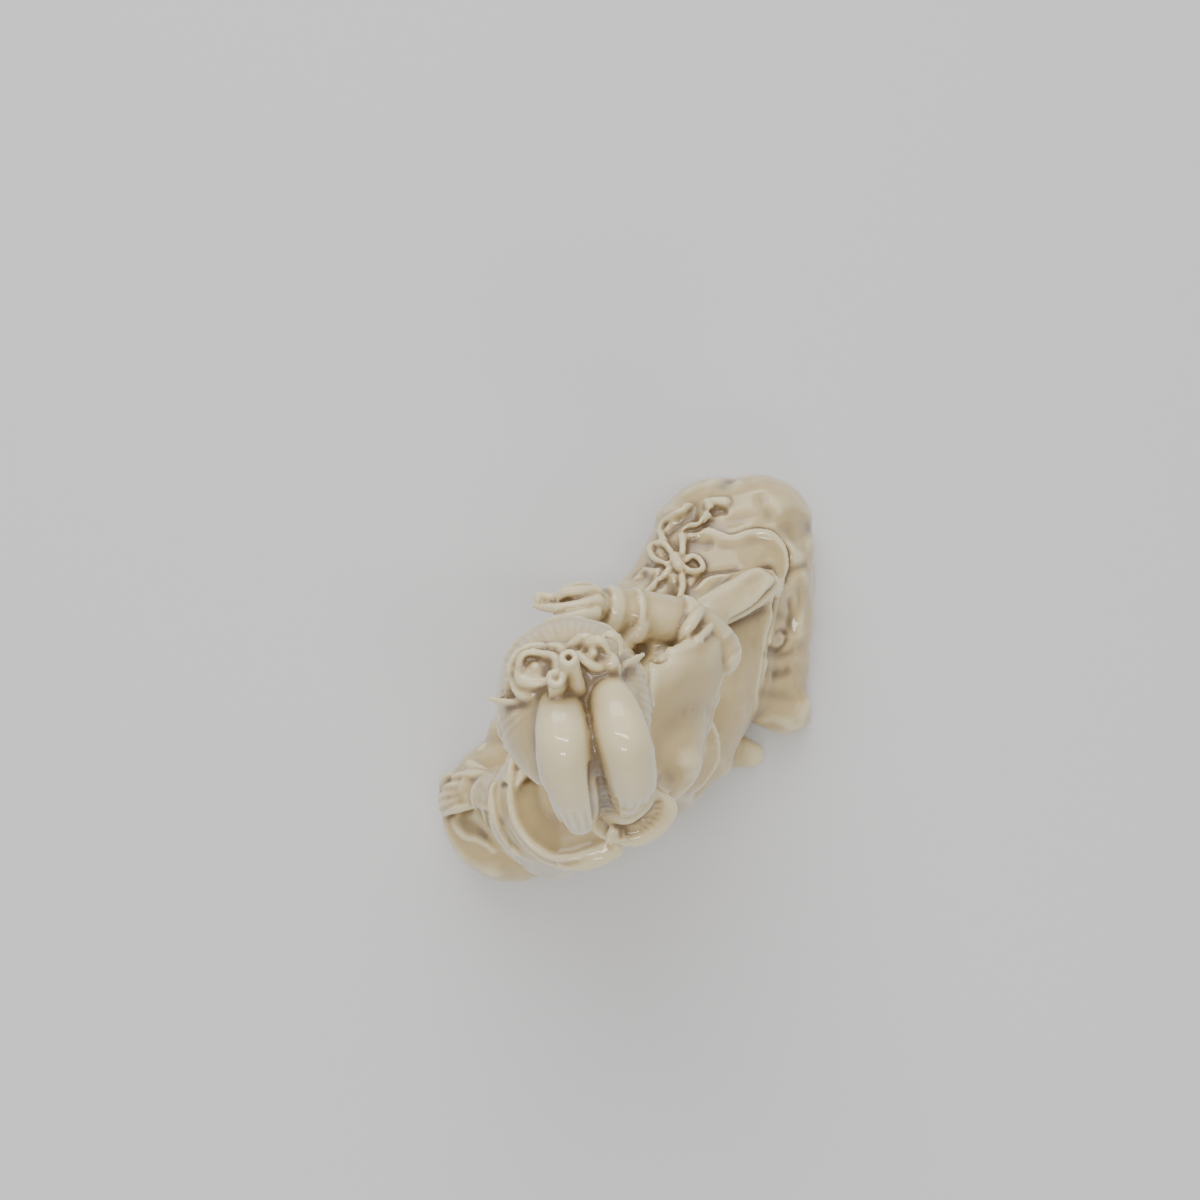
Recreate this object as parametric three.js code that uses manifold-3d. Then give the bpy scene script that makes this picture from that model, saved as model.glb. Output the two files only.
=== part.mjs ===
import * as THREE from 'three';
import { mergeVertices } from 'three/addons/utils/BufferGeometryUtils.js';
import Module from 'manifold-3d';

// A glazed porcelain figurine of a robed woman who sits on the floor with her legs folded to her
// right and her left hand on a round cushion. It is one fired piece with a flat underside.
// The figure faces -Y, her left is +X, and the origin is under the middle of her outline.

// Driving dimensions, in millimetres.
const figureHeight = 170;
const headWidth = 37;
const headDepth = 42;
const hairLoopWidth = 12.6;
const hairTubeWidth = 4.8;
const hairTubeBore = 1.4;
const upperArmWidth = 25;
const forearmWidth = 15.5;
const wristWidth = 10.5;
const fingerWidth = 4;
const cuffBandThickness = 1.6;
const cuffBandWidth = 5;
const neckWidth = 18;
const shawlEdgeThickness = 5;
const sashRollWidth = 11;
const cordWidth = 2.3;
const cushionHeight = 30;
const cushionWidth = 48;
const thighWidth = 46;
const kneeWidth = 39;
const hemOverlap = 2.2;
const foldDepth = 2;
const footLumpWidth = 19;

// Places and free shapes are kept in parts of the height, as a sculptor keeps proportions.
const PARTS_IN_HEIGHT = 170;
const part = figureHeight / PARTS_IN_HEIGHT;
const sizes = (...values) => values.map((v) => v * part);
const place = (x, y, z) => sizes(x, y, z);

// Polygonising: the cell size of the first fine surface, and how many triangles are kept of it.
const CELL = 2.1 * part;
const KEPT_TRIANGLES = 8600;

// Distance fields. Each one is a function of a point, with a ball that encloses the shape.

const TINY = 1e-9;
const span = (x, y, z) => Math.sqrt(x * x + y * y + z * z);

function enclosing(points, reach) {
  const centre = [0, 1, 2].map((k) => points.reduce((sum, p) => sum + p[k], 0) / points.length);
  const far = Math.max(...points.map((p) => span(...p.map((v, k) => v - centre[k]))));
  return { centre, radius: far + reach };
}

function ellipsoid(centre, radii, turn = [0, 0, 0]) {
  const angles = turn.map(THREE.MathUtils.degToRad);
  const turned = new THREE.Matrix4().makeRotationFromEuler(new THREE.Euler(...angles, 'ZYX'));
  const e = turned.transpose().elements;
  const [a, b, c] = radii;
  const distance = (x, y, z) => {
    const dx = x - centre[0];
    const dy = y - centre[1];
    const dz = z - centre[2];
    const u = e[0] * dx + e[4] * dy + e[8] * dz;
    const v = e[1] * dx + e[5] * dy + e[9] * dz;
    const w = e[2] * dx + e[6] * dy + e[10] * dz;
    const near = span(u / a, v / b, w / c);
    const slope = span(u / (a * a), v / (b * b), w / (c * c));
    return slope < TINY ? -Math.min(a, b, c) : (near * (near - 1)) / slope;
  };
  return { distance, ball: { centre, radius: Math.max(a, b, c) } };
}

function limb(points, radii) {
  const thickness = (i) => (Array.isArray(radii) ? radii[i] : radii);
  const distance = (x, y, z) => {
    let best = Infinity;
    for (let i = 0; i + 1 < points.length; i += 1) {
      const [ax, ay, az] = points[i];
      const [bx, by, bz] = points[i + 1];
      const [ex, ey, ez] = [bx - ax, by - ay, bz - az];
      const along = ((x - ax) * ex + (y - ay) * ey + (z - az) * ez) / (ex * ex + ey * ey + ez * ez);
      const t = Math.min(1, Math.max(0, along));
      const gap = span(x - ax - ex * t, y - ay - ey * t, z - az - ez * t);
      best = Math.min(best, gap - thickness(i) * (1 - t) - thickness(i + 1) * t);
    }
    return best;
  };
  const reach = Array.isArray(radii) ? Math.max(...radii) : radii;
  return { distance, ball: enclosing(points, reach) };
}

// A thick flat sheet on a triangle, for cloth that hangs between three places.
function sheet(a, b, c, thickness) {
  const [pa, pb, pc] = [a, b, c].map((p) => new THREE.Vector3(...p));
  const triangle = new THREE.Triangle(pa, pb, pc);
  const point = new THREE.Vector3();
  const nearest = new THREE.Vector3();
  const distance = (x, y, z) => {
    point.set(x, y, z);
    triangle.closestPointToPoint(point, nearest);
    return point.distanceTo(nearest) - thickness / 2;
  };
  return { distance, ball: enclosing([a, b, c], thickness / 2) };
}

function softMin(a, b, blend) {
  const h = Math.max(blend - Math.abs(a - b), 0) / blend;
  return Math.min(a, b) - (h * h * blend) / 4;
}

// A form is a list of steps. Each one joins or carves a field, with a fillet of its own width.
const steps = [];
const join = (field, fillet) => steps.push({ ...field, fillet: fillet * part, carve: false });
const carve = (field, fillet) => steps.push({ ...field, fillet: fillet * part, carve: true });

function formDistance(x, y, z) {
  let d = 1e3;
  for (const { distance, ball, fillet, carve: cuts } of steps) {
    const [cx, cy, cz] = ball.centre;
    const clear = span(x - cx, y - cy, z - cz) - ball.radius;
    if (cuts) {
      if (-clear < d - fillet) continue;
      d = -softMin(-d, distance(x, y, z), fillet);
    } else {
      if (clear > d + fillet) continue;
      d = softMin(d, distance(x, y, z), fillet);
    }
  }
  return d;
}

// Carving follows the surface made so far: a rough place is moved along its slope to a given
// level, where zero is the surface and a level below zero is inside.
function pressed([x, y, z], level) {
  const ROUNDS = 8;
  const LEAST_SLOPE = 0.3;
  const h = 0.5 * part;
  let p = place(x, y, z);
  for (let round = 0; round < ROUNDS; round += 1) {
    const d = formDistance(...p);
    const beside = (k) => formDistance(...p.map((v, i) => (i === k ? v + h : v)));
    const slope = [0, 1, 2].map((k) => (beside(k) - d) / h);
    const steep = Math.max(LEAST_SLOPE, span(...slope));
    p = p.map((v, k) => v - ((d - level) * slope[k]) / (steep * steep));
  }
  return p;
}

// A fold is a round ridge that stands out by its height; a crease is a round valley.
function fold(points, radius, height) {
  const [r, h] = [radius * part, height * part];
  join(limb(points.map((p) => pressed(p, h - r)), r), radius * 0.9);
}

function crease(points, radius, depth) {
  const [r, h] = [radius * part, depth * part];
  carve(limb(points.map((p) => pressed(p, r - h)), r), radius * 0.9);
}

// The legs are folded to her right under the skirt, with the knees in front of her.
const thigh = thighWidth / 2;
const knee = kneeWidth / 2;
const leftHip = place(6, 28, 26);
const rightHip = place(-10, 24, 28);
const leftKnee = place(-28, -46, 17);
const rightKnee = place(-43, -45, 18);
join(limb([leftHip, leftKnee], [thigh, knee * 0.97]), 6);
join(limb([rightHip, rightKnee], [thigh * 1.02, knee]), 8);
join(limb([rightKnee, place(-48, -14, 12), place(-49, 6, 8)], [knee * 0.94, ...sizes(15, 10)]), 7);
join(ellipsoid(place(8, 36, 20), sizes(34, 26, 31), [0, 0, 31]), 9);
join(ellipsoid(place(-18, 14, 22), sizes(20, 22, 28), [0, 0, -30]), 8);

// The skirt spreads on the floor past the legs.
join(limb([place(-38, -57, 3), place(-52, -50, 3), place(-56, -30, 3)], sizes(12, 13, 10)), 6);
join(limb([place(-34, -53, 3), place(-20, -38, 4), place(-4, -15, 6)], sizes(12, 11, 10)), 7);
join(limb([place(0, -14, 8), place(18, 4, 9), place(38, 26, 8)], sizes(12, 14, 13)), 9);

// The trunk rises from the hips, leans towards the cushion and carries the shoulders.
join(limb([place(4, 34, 34), place(8, 36, 58), place(11, 41, 82)], sizes(24, 19, 18)), 9);
join(ellipsoid(place(11, 44, 84), sizes(25, 19, 22), [0, 0, 24]), 8);
join(limb([place(13, 47, 96), place(16, 42, 120)], [neckWidth * 0.62, neckWidth / 2]), 5);

// The left arm reaches down to the cushion, and its wide sleeve falls behind it to the floor.
const upperArm = upperArmWidth / 2;
const forearm = forearmWidth / 2;
const wrist = wristWidth / 2;
const leftElbow = place(35, 56, 66);
const leftWrist = place(47, 48.5, 40);
join(limb([place(27, 54, 91), leftElbow, leftWrist], [upperArm, upperArm * 0.9, wrist]), 6);
join(limb([place(29, 60, 82), place(28, 62, 46), place(25, 60, 14)], sizes(11, 12, 11)), 7);
join(sheet(place(33, 56, 80), place(40, 60, 40), place(22, 62, 10), 10 * part), 5);
join(sheet(place(33, 48, 80), place(43, 46, 38), place(20, 40, 20), 12 * part), 6);

// The right arm comes forward under the cape, and the forearm crosses the chest.
const rightShoulder = place(-4, 41, 92);
const rightElbow = place(-12, 13, 82);
const rightWrist = place(10, 2, 95);
join(limb([rightShoulder, rightElbow], [upperArm * 1.08, upperArm * 0.92]), 6);
join(limb([rightElbow, place(-4, 5, 88), rightWrist], [forearm * 1.15, forearm, wrist]), 3);
join(limb([place(-12, 17, 73), place(-2, 9, 77), place(6, 7, 86)], sizes(9, 8, 6)), 4);
join(limb([place(-10, 27, 62), place(-8, 14, 62)], sizes(11, 10)), 6);

// The cape falls from the right shoulder to a free edge that stands off the robe.
const capeEdge = [place(-18, 2, 79), place(-21, 12, 74), place(-20, 23, 73), place(-17, 32, 76),
  place(-12, 42, 83), place(-6, 52, 92)];
for (let i = 0; i + 1 < capeEdge.length; i += 1) {
  join(sheet(place(-2, 40, 101), capeEdge[i], capeEdge[i + 1], 5 * part), 4);
}
join(limb(capeEdge, 2.2 * part), 1.5);

// The cushion is a soft round bag with one fold along its side.
const cushion = cushionWidth / 2;
join(ellipsoid(place(42, 50, 9), [cushion * 0.96, cushion * 1.02, cushionHeight - 9 * part], [0, 0, 10]), 2);
fold([[63, 46, 19], [60, 56, 16], [53, 62, 15], [46, 66, 16]], 3.5, 1.5);
crease([[58, 46, 24], [54, 55, 22], [47, 60, 22]], 2.5, 1.2);

// The shawl lies round the back of the neck with a rolled edge, and ends in a rounded lap.
const shawlEdge = shawlEdgeThickness / 2;
const shawlRim = [place(34, 44, 93), place(35, 54, 95), place(33.5, 61, 96), place(29, 67, 97),
  place(22, 70.5, 98), place(15, 71, 100), place(8, 68, 102)];
join(ellipsoid(place(19, 55, 85), sizes(18, 16, 13), [0, 0, 20]), 6);
join(limb(shawlRim, shawlEdge), 2);
join(limb([place(17, 71, 97), place(9, 69, 101)], 3 * part), 1.5);
carve(ellipsoid(place(21, 56, 101), sizes(12.5, 12, 9), [0, 0, 20]), 3);

// Head and hair. The face is a calm plain one, set by the usual thirds of the head.
const headCentre = place(18, 38, 138);
const headTurn = [9, 0, 12];
const onHead = (x, y, z) => {
  const local = new THREE.Vector3(x * headWidth, y * headDepth, z * headDepth);
  local.applyEuler(new THREE.Euler(...headTurn.map(THREE.MathUtils.degToRad), 'ZYX'));
  return [headCentre[0] + local.x, headCentre[1] + local.y, headCentre[2] + local.z];
};
join(ellipsoid(headCentre, [headWidth / 2, headDepth / 2, headDepth * 0.52], headTurn), 3);
join(ellipsoid(onHead(0, -0.14, -0.26), [headWidth * 0.37, headDepth * 0.32, headDepth * 0.38], headTurn), 3);
join(limb([onHead(0, -0.44, -0.08), onHead(0, -0.5, -0.25)], [headWidth * 0.035, headWidth * 0.05]), 2);
join(ellipsoid(onHead(0, -0.42, -0.38), [headWidth * 0.09, headDepth * 0.05, headDepth * 0.035]), 1.2);
join(ellipsoid(onHead(0, -0.36, -0.52), [headWidth * 0.12, headDepth * 0.09, headDepth * 0.09]), 3);
for (const side of [-1, 1]) {
  const eyeSocket = [headWidth * 0.1, headDepth * 0.06, headDepth * 0.05];
  carve(ellipsoid(onHead(side * 0.18, -0.53, -0.12), eyeSocket), 2.5);
  const ear = [headWidth * 0.06, headDepth * 0.08, headDepth * 0.15];
  join(ellipsoid(onHead(side * 0.45, 0.03, -0.26), ear), 1.5);
}
// A shallow step parts the hair from the brow, and the fringe stands a little forward.
join(limb([onHead(-0.44, -0.12, -0.02), onHead(-0.3, -0.37, 0.12), onHead(0, -0.47, 0.17),
  onHead(0.3, -0.37, 0.12), onHead(0.44, -0.12, -0.02)], headDepth * 0.05), 2.5);

// Hair swept back over the crown, with two thick loops and a fan of loose hair at the nape.
const hairLoop = hairLoopWidth / 2;
const loopSwell = [0.82, 0.98, 1, 0.96, 0.74];
const hairLoops = [
  [[20.5, 41, 153], [20.2, 48, 159], [19.6, 54, 154], [18.3, 59.5, 139], [16.8, 63, 124]],
  [[9.5, 38, 153], [7.2, 47, 159], [5.6, 53, 154], [4.6, 57, 139], [5.6, 59.5, 126]],
];
const LOOP_STEPS = 8;
for (const route of hairLoops) {
  const curve = new THREE.CatmullRomCurve3(route.map((p) => new THREE.Vector3(...place(...p))));
  const swell = new THREE.CatmullRomCurve3(loopSwell.map((size, i) => new THREE.Vector3(i, size, 0)));
  const stops = Array.from({ length: LOOP_STEPS + 1 }, (_, i) => i / LOOP_STEPS);
  const centres = stops.map((t) => curve.getPoint(t).toArray());
  join(limb(centres, stops.map((t) => swell.getPoint(t).y * hairLoop)), 0.8);
}
join(limb([place(11, 50, 122), place(6, 56, 112)], sizes(11, 8)), 3);
join(ellipsoid(place(4, 57, 105), sizes(13, 12, 6), [12, 0, 20]), 3);

// Hair ornament: a crest of leaves in front of the loops, with two short tubes and two flowers.
join(limb([place(36, 37, 150), place(29, 37.5, 152), place(25, 39.5, 154)], sizes(1.5, 2.2, 3)), 1.2);
join(limb([place(2.5, 29, 150), place(8, 32.5, 153), place(10, 36, 155)], sizes(1.5, 2.2, 3)), 1.2);
join(ellipsoid(place(26, 34, 157), sizes(5, 4, 3.6)), 1.2);
join(ellipsoid(place(12, 30, 158), sizes(5.5, 4, 3.6), [0, 0, -20]), 1.2);
join(ellipsoid(place(18, 36, 155), sizes(7, 5, 5)), 2);
const hairTube = hairTubeWidth / 2;
const hairTubes = [
  [place(17, 37, 154), place(18.6, 33.5, 168)],
  [place(21.5, 39, 154), place(21.5, 37.5, 166)],
];
hairTubes.forEach((ends) => join(limb(ends, hairTube), 0.6));

// Cuff bands are round rings at both wrists and along the raised forearm.
const between = (a, b, t) => a.map((v, k) => v + (b[k] - v) * t);
function cuff(from, to, t, around, fillet) {
  const length = span(...to.map((v, k) => v - from[k]));
  const middle = between(from, to, t);
  const axis = to.map((v, k) => (v - from[k]) / length);
  const half = cuffBandWidth / 2;
  const distance = (x, y, z) => {
    const offset = [x - middle[0], y - middle[1], z - middle[2]];
    const along = offset[0] * axis[0] + offset[1] * axis[1] + offset[2] * axis[2];
    const out = span(...offset.map((v, k) => v - along * axis[k]));
    const past = Math.max(0, Math.abs(along) - half + cuffBandThickness);
    return span(Math.max(0, out - around), past, 0) - cuffBandThickness;
  };
  join({ distance, ball: { centre: middle, radius: around + cuffBandThickness + half } }, fillet);
}
cuff(rightElbow, rightWrist, 0.88, wrist * 1.05, 0.8);
cuff(rightElbow, rightWrist, 0.66, forearm * 0.9, 0.8);
cuff(rightElbow, rightWrist, 0.22, forearm * 1.12, 1);
cuff(leftElbow, leftWrist, 0.96, wrist * 0.95, 0.8);

// Hands. The right one is raised with the fingers curled round a small bud.
const finger = fingerWidth / 2;
join(ellipsoid(place(15.5, 3, 100), sizes(6.5, 5, 4.5), [0, 10, 10]), 2);
const littleFinger = [place(13, 5, 104.5), place(20, 7.5, 105), place(31, 10.5, 103)];
join(limb(littleFinger, [finger * 1.15, finger, finger * 0.6]), 0.8);
join(limb([place(17, 0, 103), place(23, 1, 104), place(24, 4.5, 101)], finger), 0.8);
join(limb([place(20, 4, 102), place(28, 3.5, 103)], [finger * 1.3, finger * 0.7]), 0.8);
join(ellipsoid(place(51.5, 45.5, 34), sizes(7.5, 6.3, 4.2), [0, 28, -10]), 1.5);
for (const row of [0, 1, 2, 3]) {
  const y = 40.5 + 3.1 * row;
  join(limb([place(54, 41.5 + row * 2.5, 33.5), place(60, y, 28), place(64, y + 1, 20)], finger), 0.6);
}
join(limb([place(49, 41, 34), place(55, 37, 29)], [finger * 1.1, finger]), 0.8);

// The sash is a thick roll of cloth from the waist round the right hip, with a thinner one above.
const sashRoll = sashRollWidth / 2;
const sashRoute = [place(-14, 0, 58), place(-23, -6, 54), place(-32, -12, 49), place(-40, -18, 43),
  place(-45, -19, 36), place(-47, -13, 28)];
join(limb(sashRoute, [0.7, 0.9, 1, 1, 0.85, 0.6].map((share) => share * sashRoll)), 1.5);
fold([[-16, -12, 55], [-26, -19, 50], [-37, -24, 43]], 3.6, 2);

// On her right the skirt gathers in stacked folds, with one curled end and the feet wrapped beneath.
const footLump = footLumpWidth / 2;
join(limb([place(-40, 9, 10), place(-52, 15, 7)], [footLump * 1.15, footLump]), 3);
join(limb([place(-54, 9, 5), place(-58, 18, 3)], [footLump * 0.6, footLump * 0.45]), 3);
join(limb([place(-32, 29, 5), place(-41, 31, 3)], sizes(7, 4.5)), 2);
join(limb([place(-40, -17, 36), place(-41, -8, 33), place(-40, 4, 29), place(-38, 13, 23), place(-34, 22, 15),
  place(-28, 32, 8)], 4 * part), 3);
crease([[-46, -18, 30], [-46, -6, 26], [-44, 4, 22]], 3, 2);
fold([[-49, -20, 28], [-54, -16, 25], [-54, -8, 22], [-49, -5, 22], [-47, -10, 24]], 2.4, 1.8);
fold([[-44, 0, 22], [-52, 0, 18], [-58, -1, 10]], 2.6, 1.8);
fold([[-43, 6, 18], [-51, 6, 14], [-58, 4, 8]], 2.6, 1.8);

// The overskirt ends in a wavy hem, a little proud of the skirt beneath.
fold([[-8, -36, 38], [-16, -41, 38], [-23, -40, 40], [-28, -37.5, 40], [-33, -37.5, 40], [-38, -40, 40],
  [-45, -40, 38], [-51, -35, 32], [-54, -26, 24]], 2.4, hemOverlap / 2);
crease([[-8, -40, 36], [-16, -45, 36], [-23, -44, 38], [-30, -41.5, 38], [-38, -44, 38], [-46, -44, 35],
  [-55, -37, 28]], 2, 0.9);
// The rounded toe of a shoe shows under that hem.
join(limb([place(-26, -50, 31), place(-33, -51, 29)], sizes(3.4, 3.6)), 1);

// Robe: crossed lapels on the chest, an apron fold beside the sash cord, long folds down the front,
// and folds that fall from the shoulders down the back.
fold([[24, 34, 100], [15, 20, 84], [2, 12, 66]], 2.6, 1.6);
fold([[3, 31, 98], [0, 22, 88], [8, 16, 72], [14, 14, 60]], 2.6, 1.6);
fold([[6, -6, 46], [2, -16, 48], [-4, -27, 44], [-6, -32, 36]], 2.8, 1.5);
const frontFolds = [
  [[30, 28, 60], [34, 22, 34], [37, 18, 6]],
  [[22, 18, 50], [26, 8, 28], [28, 0, 6]],
  [[10, 4, 46], [14, -6, 28], [14, -14, 6]],
  [[0, -18, 44], [2, -22, 26], [0, -28, 6]],
  [[-14, -48, 32], [-12, -50, 20], [-12, -52, 6]],
];
frontFolds.forEach((route) => fold(route, 3.6, foldDepth));
const backFolds = [
  [[20, 74, 88], [22, 74, 50], [24, 73, 8]],
  [[8, 66, 86], [8, 64, 48], [10, 66, 8]],
  [[-4, 60, 78], [-6, 56, 44], [-4, 58, 8]],
  [[-12, 50, 66], [-16, 48, 40], [-18, 49, 8]],
  [[-20, 34, 54], [-27, 38, 30], [-30, 41, 8]],
];
backFolds.forEach((route) => fold(route, 3.8, foldDepth));
// Long shallow folds on the skirt over the knees, and the dark slot between cape and robe.
crease([[-30, -56, 32], [-36, -62, 22], [-40, -68, 10]], 3, 0.8);
crease([[-50, -44, 30], [-56, -46, 20], [-60, -46, 8]], 3, 0.8);
crease([[-19, 31, 60], [-19, 37, 48], [-16, 43, 36]], 3.5, 2);

// Some way under the floor the form is closed off, and the flat underside is cut from it later.
const BELOW_FLOOR = 4 * part;
const box = new THREE.Box3(
  new THREE.Vector3(...place(-76, -80, -7)),
  new THREE.Vector3(...place(76, 84, 180)),
);
const surfaceDistance = (x, y, z) => Math.max(formDistance(x, y, z), -BELOW_FLOOR - z);

// Corners of a cell are numbered by their x, y and z bits. These six tetrahedra fill it, each one
// listed right-handed, and the even orders below keep every triangle facing out.
const TETRAHEDRA = [[0, 1, 3, 7], [0, 5, 1, 7], [0, 3, 2, 7], [0, 2, 6, 7], [0, 4, 5, 7], [0, 6, 4, 7]];
const SINGLE_ORDERS = [[0, 1, 2, 3], [1, 0, 3, 2], [2, 3, 0, 1], [3, 2, 1, 0]];
const PAIR_ORDERS = [[0, 1, 2, 3], [0, 2, 3, 1], [0, 3, 1, 2], [1, 2, 0, 3], [1, 3, 2, 0], [2, 3, 0, 1]];

// Blocks of cells far from the surface share one value, and no vertex comes too near a corner.
const BLOCK = 3;
const END_GAP = 0.05;

function polygonise(distanceAt) {
  const size = box.getSize(new THREE.Vector3());
  const [nx, ny, nz] = [size.x, size.y, size.z].map((length) => Math.ceil(length / CELL) + 1);
  const values = new Float64Array(nx * ny * nz);
  const corner = (n) => [
    box.min.x + (n % nx) * CELL,
    box.min.y + (Math.floor(n / nx) % ny) * CELL,
    box.min.z + Math.floor(n / (nx * ny)) * CELL,
  ];
  const blockReach = BLOCK * CELL * Math.sqrt(3);
  for (let k = 0; k < nz; k += BLOCK) {
    for (let j = 0; j < ny; j += BLOCK) {
      for (let i = 0; i < nx; i += BLOCK) {
        const sample = distanceAt(...corner(i + nx * (j + ny * k)));
        const far = Math.abs(sample) > blockReach;
        for (let ck = k; ck < Math.min(k + BLOCK, nz); ck += 1) {
          for (let cj = j; cj < Math.min(j + BLOCK, ny); cj += 1) {
            for (let ci = i; ci < Math.min(i + BLOCK, nx); ci += 1) {
              const at = ci + nx * (cj + ny * ck);
              values[at] = far ? sample : distanceAt(...corner(at));
            }
          }
        }
      }
    }
  }
  const positions = [];
  const triangles = [];
  const found = new Map();
  const crossing = (a, b) => {
    const key = Math.min(a, b) * values.length + Math.max(a, b);
    if (!found.has(key)) {
      const share = THREE.MathUtils.clamp(values[a] / (values[a] - values[b]), END_GAP, 1 - END_GAP);
      found.set(key, positions.length);
      positions.push(between(corner(a), corner(b), share));
    }
    return found.get(key);
  };
  const cutTetrahedron = (tetra) => {
    const inside = tetra.map((n) => values[n] < 0);
    const count = inside.filter(Boolean).length;
    if (count === 1 || count === 3) {
      const [s, o1, o2, o3] = SINGLE_ORDERS[inside.indexOf(count === 1)].map((c) => tetra[c]);
      const ring = [crossing(s, o1), crossing(s, o2), crossing(s, o3)];
      triangles.push(count === 1 ? ring : ring.reverse());
    } else if (count === 2) {
      const order = PAIR_ORDERS.find(([a, b]) => inside[a] && inside[b]);
      const [a, b, c, d] = order.map((n) => tetra[n]);
      const quad = [crossing(a, c), crossing(a, d), crossing(b, d), crossing(b, c)];
      triangles.push([quad[0], quad[1], quad[2]], [quad[0], quad[2], quad[3]]);
    }
  };
  const lowerCorners = [0, 1, nx, nx + 1];
  const cellCorners = [...lowerCorners, ...lowerCorners.map((n) => n + nx * ny)];
  for (let k = 0; k + 1 < nz; k += 1) {
    for (let j = 0; j + 1 < ny; j += 1) {
      for (let i = 0; i + 1 < nx; i += 1) {
        const first = i + nx * (j + ny * k);
        const below = values[first] < 0;
        if (cellCorners.some((n) => values[first + n] < 0 !== below)) {
          TETRAHEDRA.forEach((tetra) => cutTetrahedron(tetra.map((c) => first + cellCorners[c])));
        }
      }
    }
  }
  return { positions, triangles };
}

// A heap of edges, cheapest first, for the thinning of the surface.
class CheapestFirst {
  items = [];

  push(item) {
    const { items } = this;
    let child = items.length;
    items.push(item);
    while (child > 0) {
      const parent = (child - 1) >> 1;
      if (items[parent].cost <= item.cost) break;
      items[child] = items[parent];
      child = parent;
    }
    items[child] = item;
  }

  pop() {
    const { items } = this;
    const top = items[0];
    const last = items.pop();
    if (items.length > 0) {
      let parent = 0;
      for (;;) {
        let child = 2 * parent + 1;
        if (child >= items.length) break;
        if (child + 1 < items.length && items[child + 1].cost < items[child].cost) child += 1;
        if (items[child].cost >= last.cost) break;
        items[parent] = items[child];
        parent = child;
      }
      items[parent] = last;
    }
    return top;
  }
}

// Quadric thinning: each vertex carries the planes of its faces, and the edge whose merged vertex
// stays nearest to them goes first. Flat cloth loses triangles and the carving keeps them.
function thin({ positions, triangles }, kept) {
  const EDGE_WEIGHT = 2e-4;
  const LEAST_TURN = 0.3;
  const LEAST_SHARPNESS = 1e-4;
  const points = positions.map((p) => new THREE.Vector3(...p));
  const faces = triangles.map((t) => [...t]);
  const around = points.map(() => new Set());
  faces.forEach((face, f) => face.forEach((v) => around[v].add(f)));
  const planes = points.map(() => new Float64Array(10));
  const normalOf = (p, q, r) => q.clone().sub(p).cross(r.clone().sub(p));
  for (const face of faces) {
    const [p, q, r] = face.map((v) => points[v]);
    const normal = normalOf(p, q, r);
    const area = normal.length();
    if (area < TINY) continue;
    normal.divideScalar(area);
    const { x, y, z } = normal;
    const w = -normal.dot(p);
    const terms = [x * x, x * y, x * z, x * w, y * y, y * z, y * w, z * z, z * w, w * w];
    face.forEach((v) => terms.forEach((term, i) => { planes[v][i] += term * area; }));
  }
  const errorAt = (m, p) => m[0] * p.x * p.x + 2 * m[1] * p.x * p.y + 2 * m[2] * p.x * p.z + 2 * m[3] * p.x
    + m[4] * p.y * p.y + 2 * m[5] * p.y * p.z + 2 * m[6] * p.y + m[7] * p.z * p.z + 2 * m[8] * p.z + m[9];
  const version = new Int32Array(points.length);
  const queue = new CheapestFirst();
  const solver = new THREE.Matrix3();
  const offer = (a, b) => {
    const m = planes[a].map((v, i) => v + planes[b][i]);
    const middle = points[a].clone().add(points[b]).multiplyScalar(0.5);
    const length = points[a].distanceTo(points[b]);
    let target = middle;
    solver.set(m[0], m[1], m[2], m[1], m[4], m[5], m[2], m[5], m[7]);
    const scale = (m[0] + m[4] + m[7]) / 3;
    if (Math.abs(solver.determinant()) > LEAST_SHARPNESS * scale ** 3) {
      const best = new THREE.Vector3(-m[3], -m[6], -m[8]).applyMatrix3(solver.invert());
      if (best.distanceTo(middle) < length) target = best;
    }
    const cost = Math.max(0, errorAt(m, target)) + EDGE_WEIGHT * length ** 4;
    queue.push({ cost, a, b, stampA: version[a], stampB: version[b], target });
  };
  const neighbours = (v) => new Set([...around[v]].flatMap((f) => faces[f]).filter((n) => n !== v));
  points.forEach((_, a) => neighbours(a).forEach((b) => { if (a < b) offer(a, b); }));
  const turnsOver = (v, other, target) => [...around[v]].some((f) => {
    const face = faces[f];
    if (face.includes(other)) return false;
    const before = normalOf(...face.map((n) => points[n]));
    const after = normalOf(...face.map((n) => (n === v ? target : points[n])));
    const sizeAfter = after.length();
    return sizeAfter < TINY || before.dot(after) < LEAST_TURN * before.length() * sizeAfter;
  });
  let count = faces.length;
  while (count > kept && queue.items.length > 0) {
    const { a, b, stampA, stampB, target } = queue.pop();
    if (version[a] !== stampA || version[b] !== stampB) continue;
    const [nearA, nearB] = [neighbours(a), neighbours(b)];
    if ([...nearA].filter((n) => nearB.has(n)).length !== 2) continue;
    if (turnsOver(a, b, target) || turnsOver(b, a, target)) continue;
    for (const f of around[b]) {
      if (faces[f].includes(a)) {
        faces[f].forEach((n) => { if (n !== b) around[n].delete(f); });
        faces[f] = null;
        count -= 1;
      } else {
        faces[f] = faces[f].map((n) => (n === b ? a : n));
        around[a].add(f);
      }
    }
    around[b].clear();
    points[a].copy(target);
    planes[b].forEach((v, i) => { planes[a][i] += v; });
    version[b] = -1;
    version[a] += 1;
    neighbours(a).forEach((n) => offer(a, n));
  }
  const used = new Map();
  const index = faces.filter(Boolean).flat().map((v) => {
    if (!used.has(v)) used.set(v, used.size);
    return used.get(v);
  });
  const vertices = [...used.keys()].flatMap((v) => points[v].toArray());
  return { vertices, index };
}

const wasm = await Module();
wasm.setup();

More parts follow.
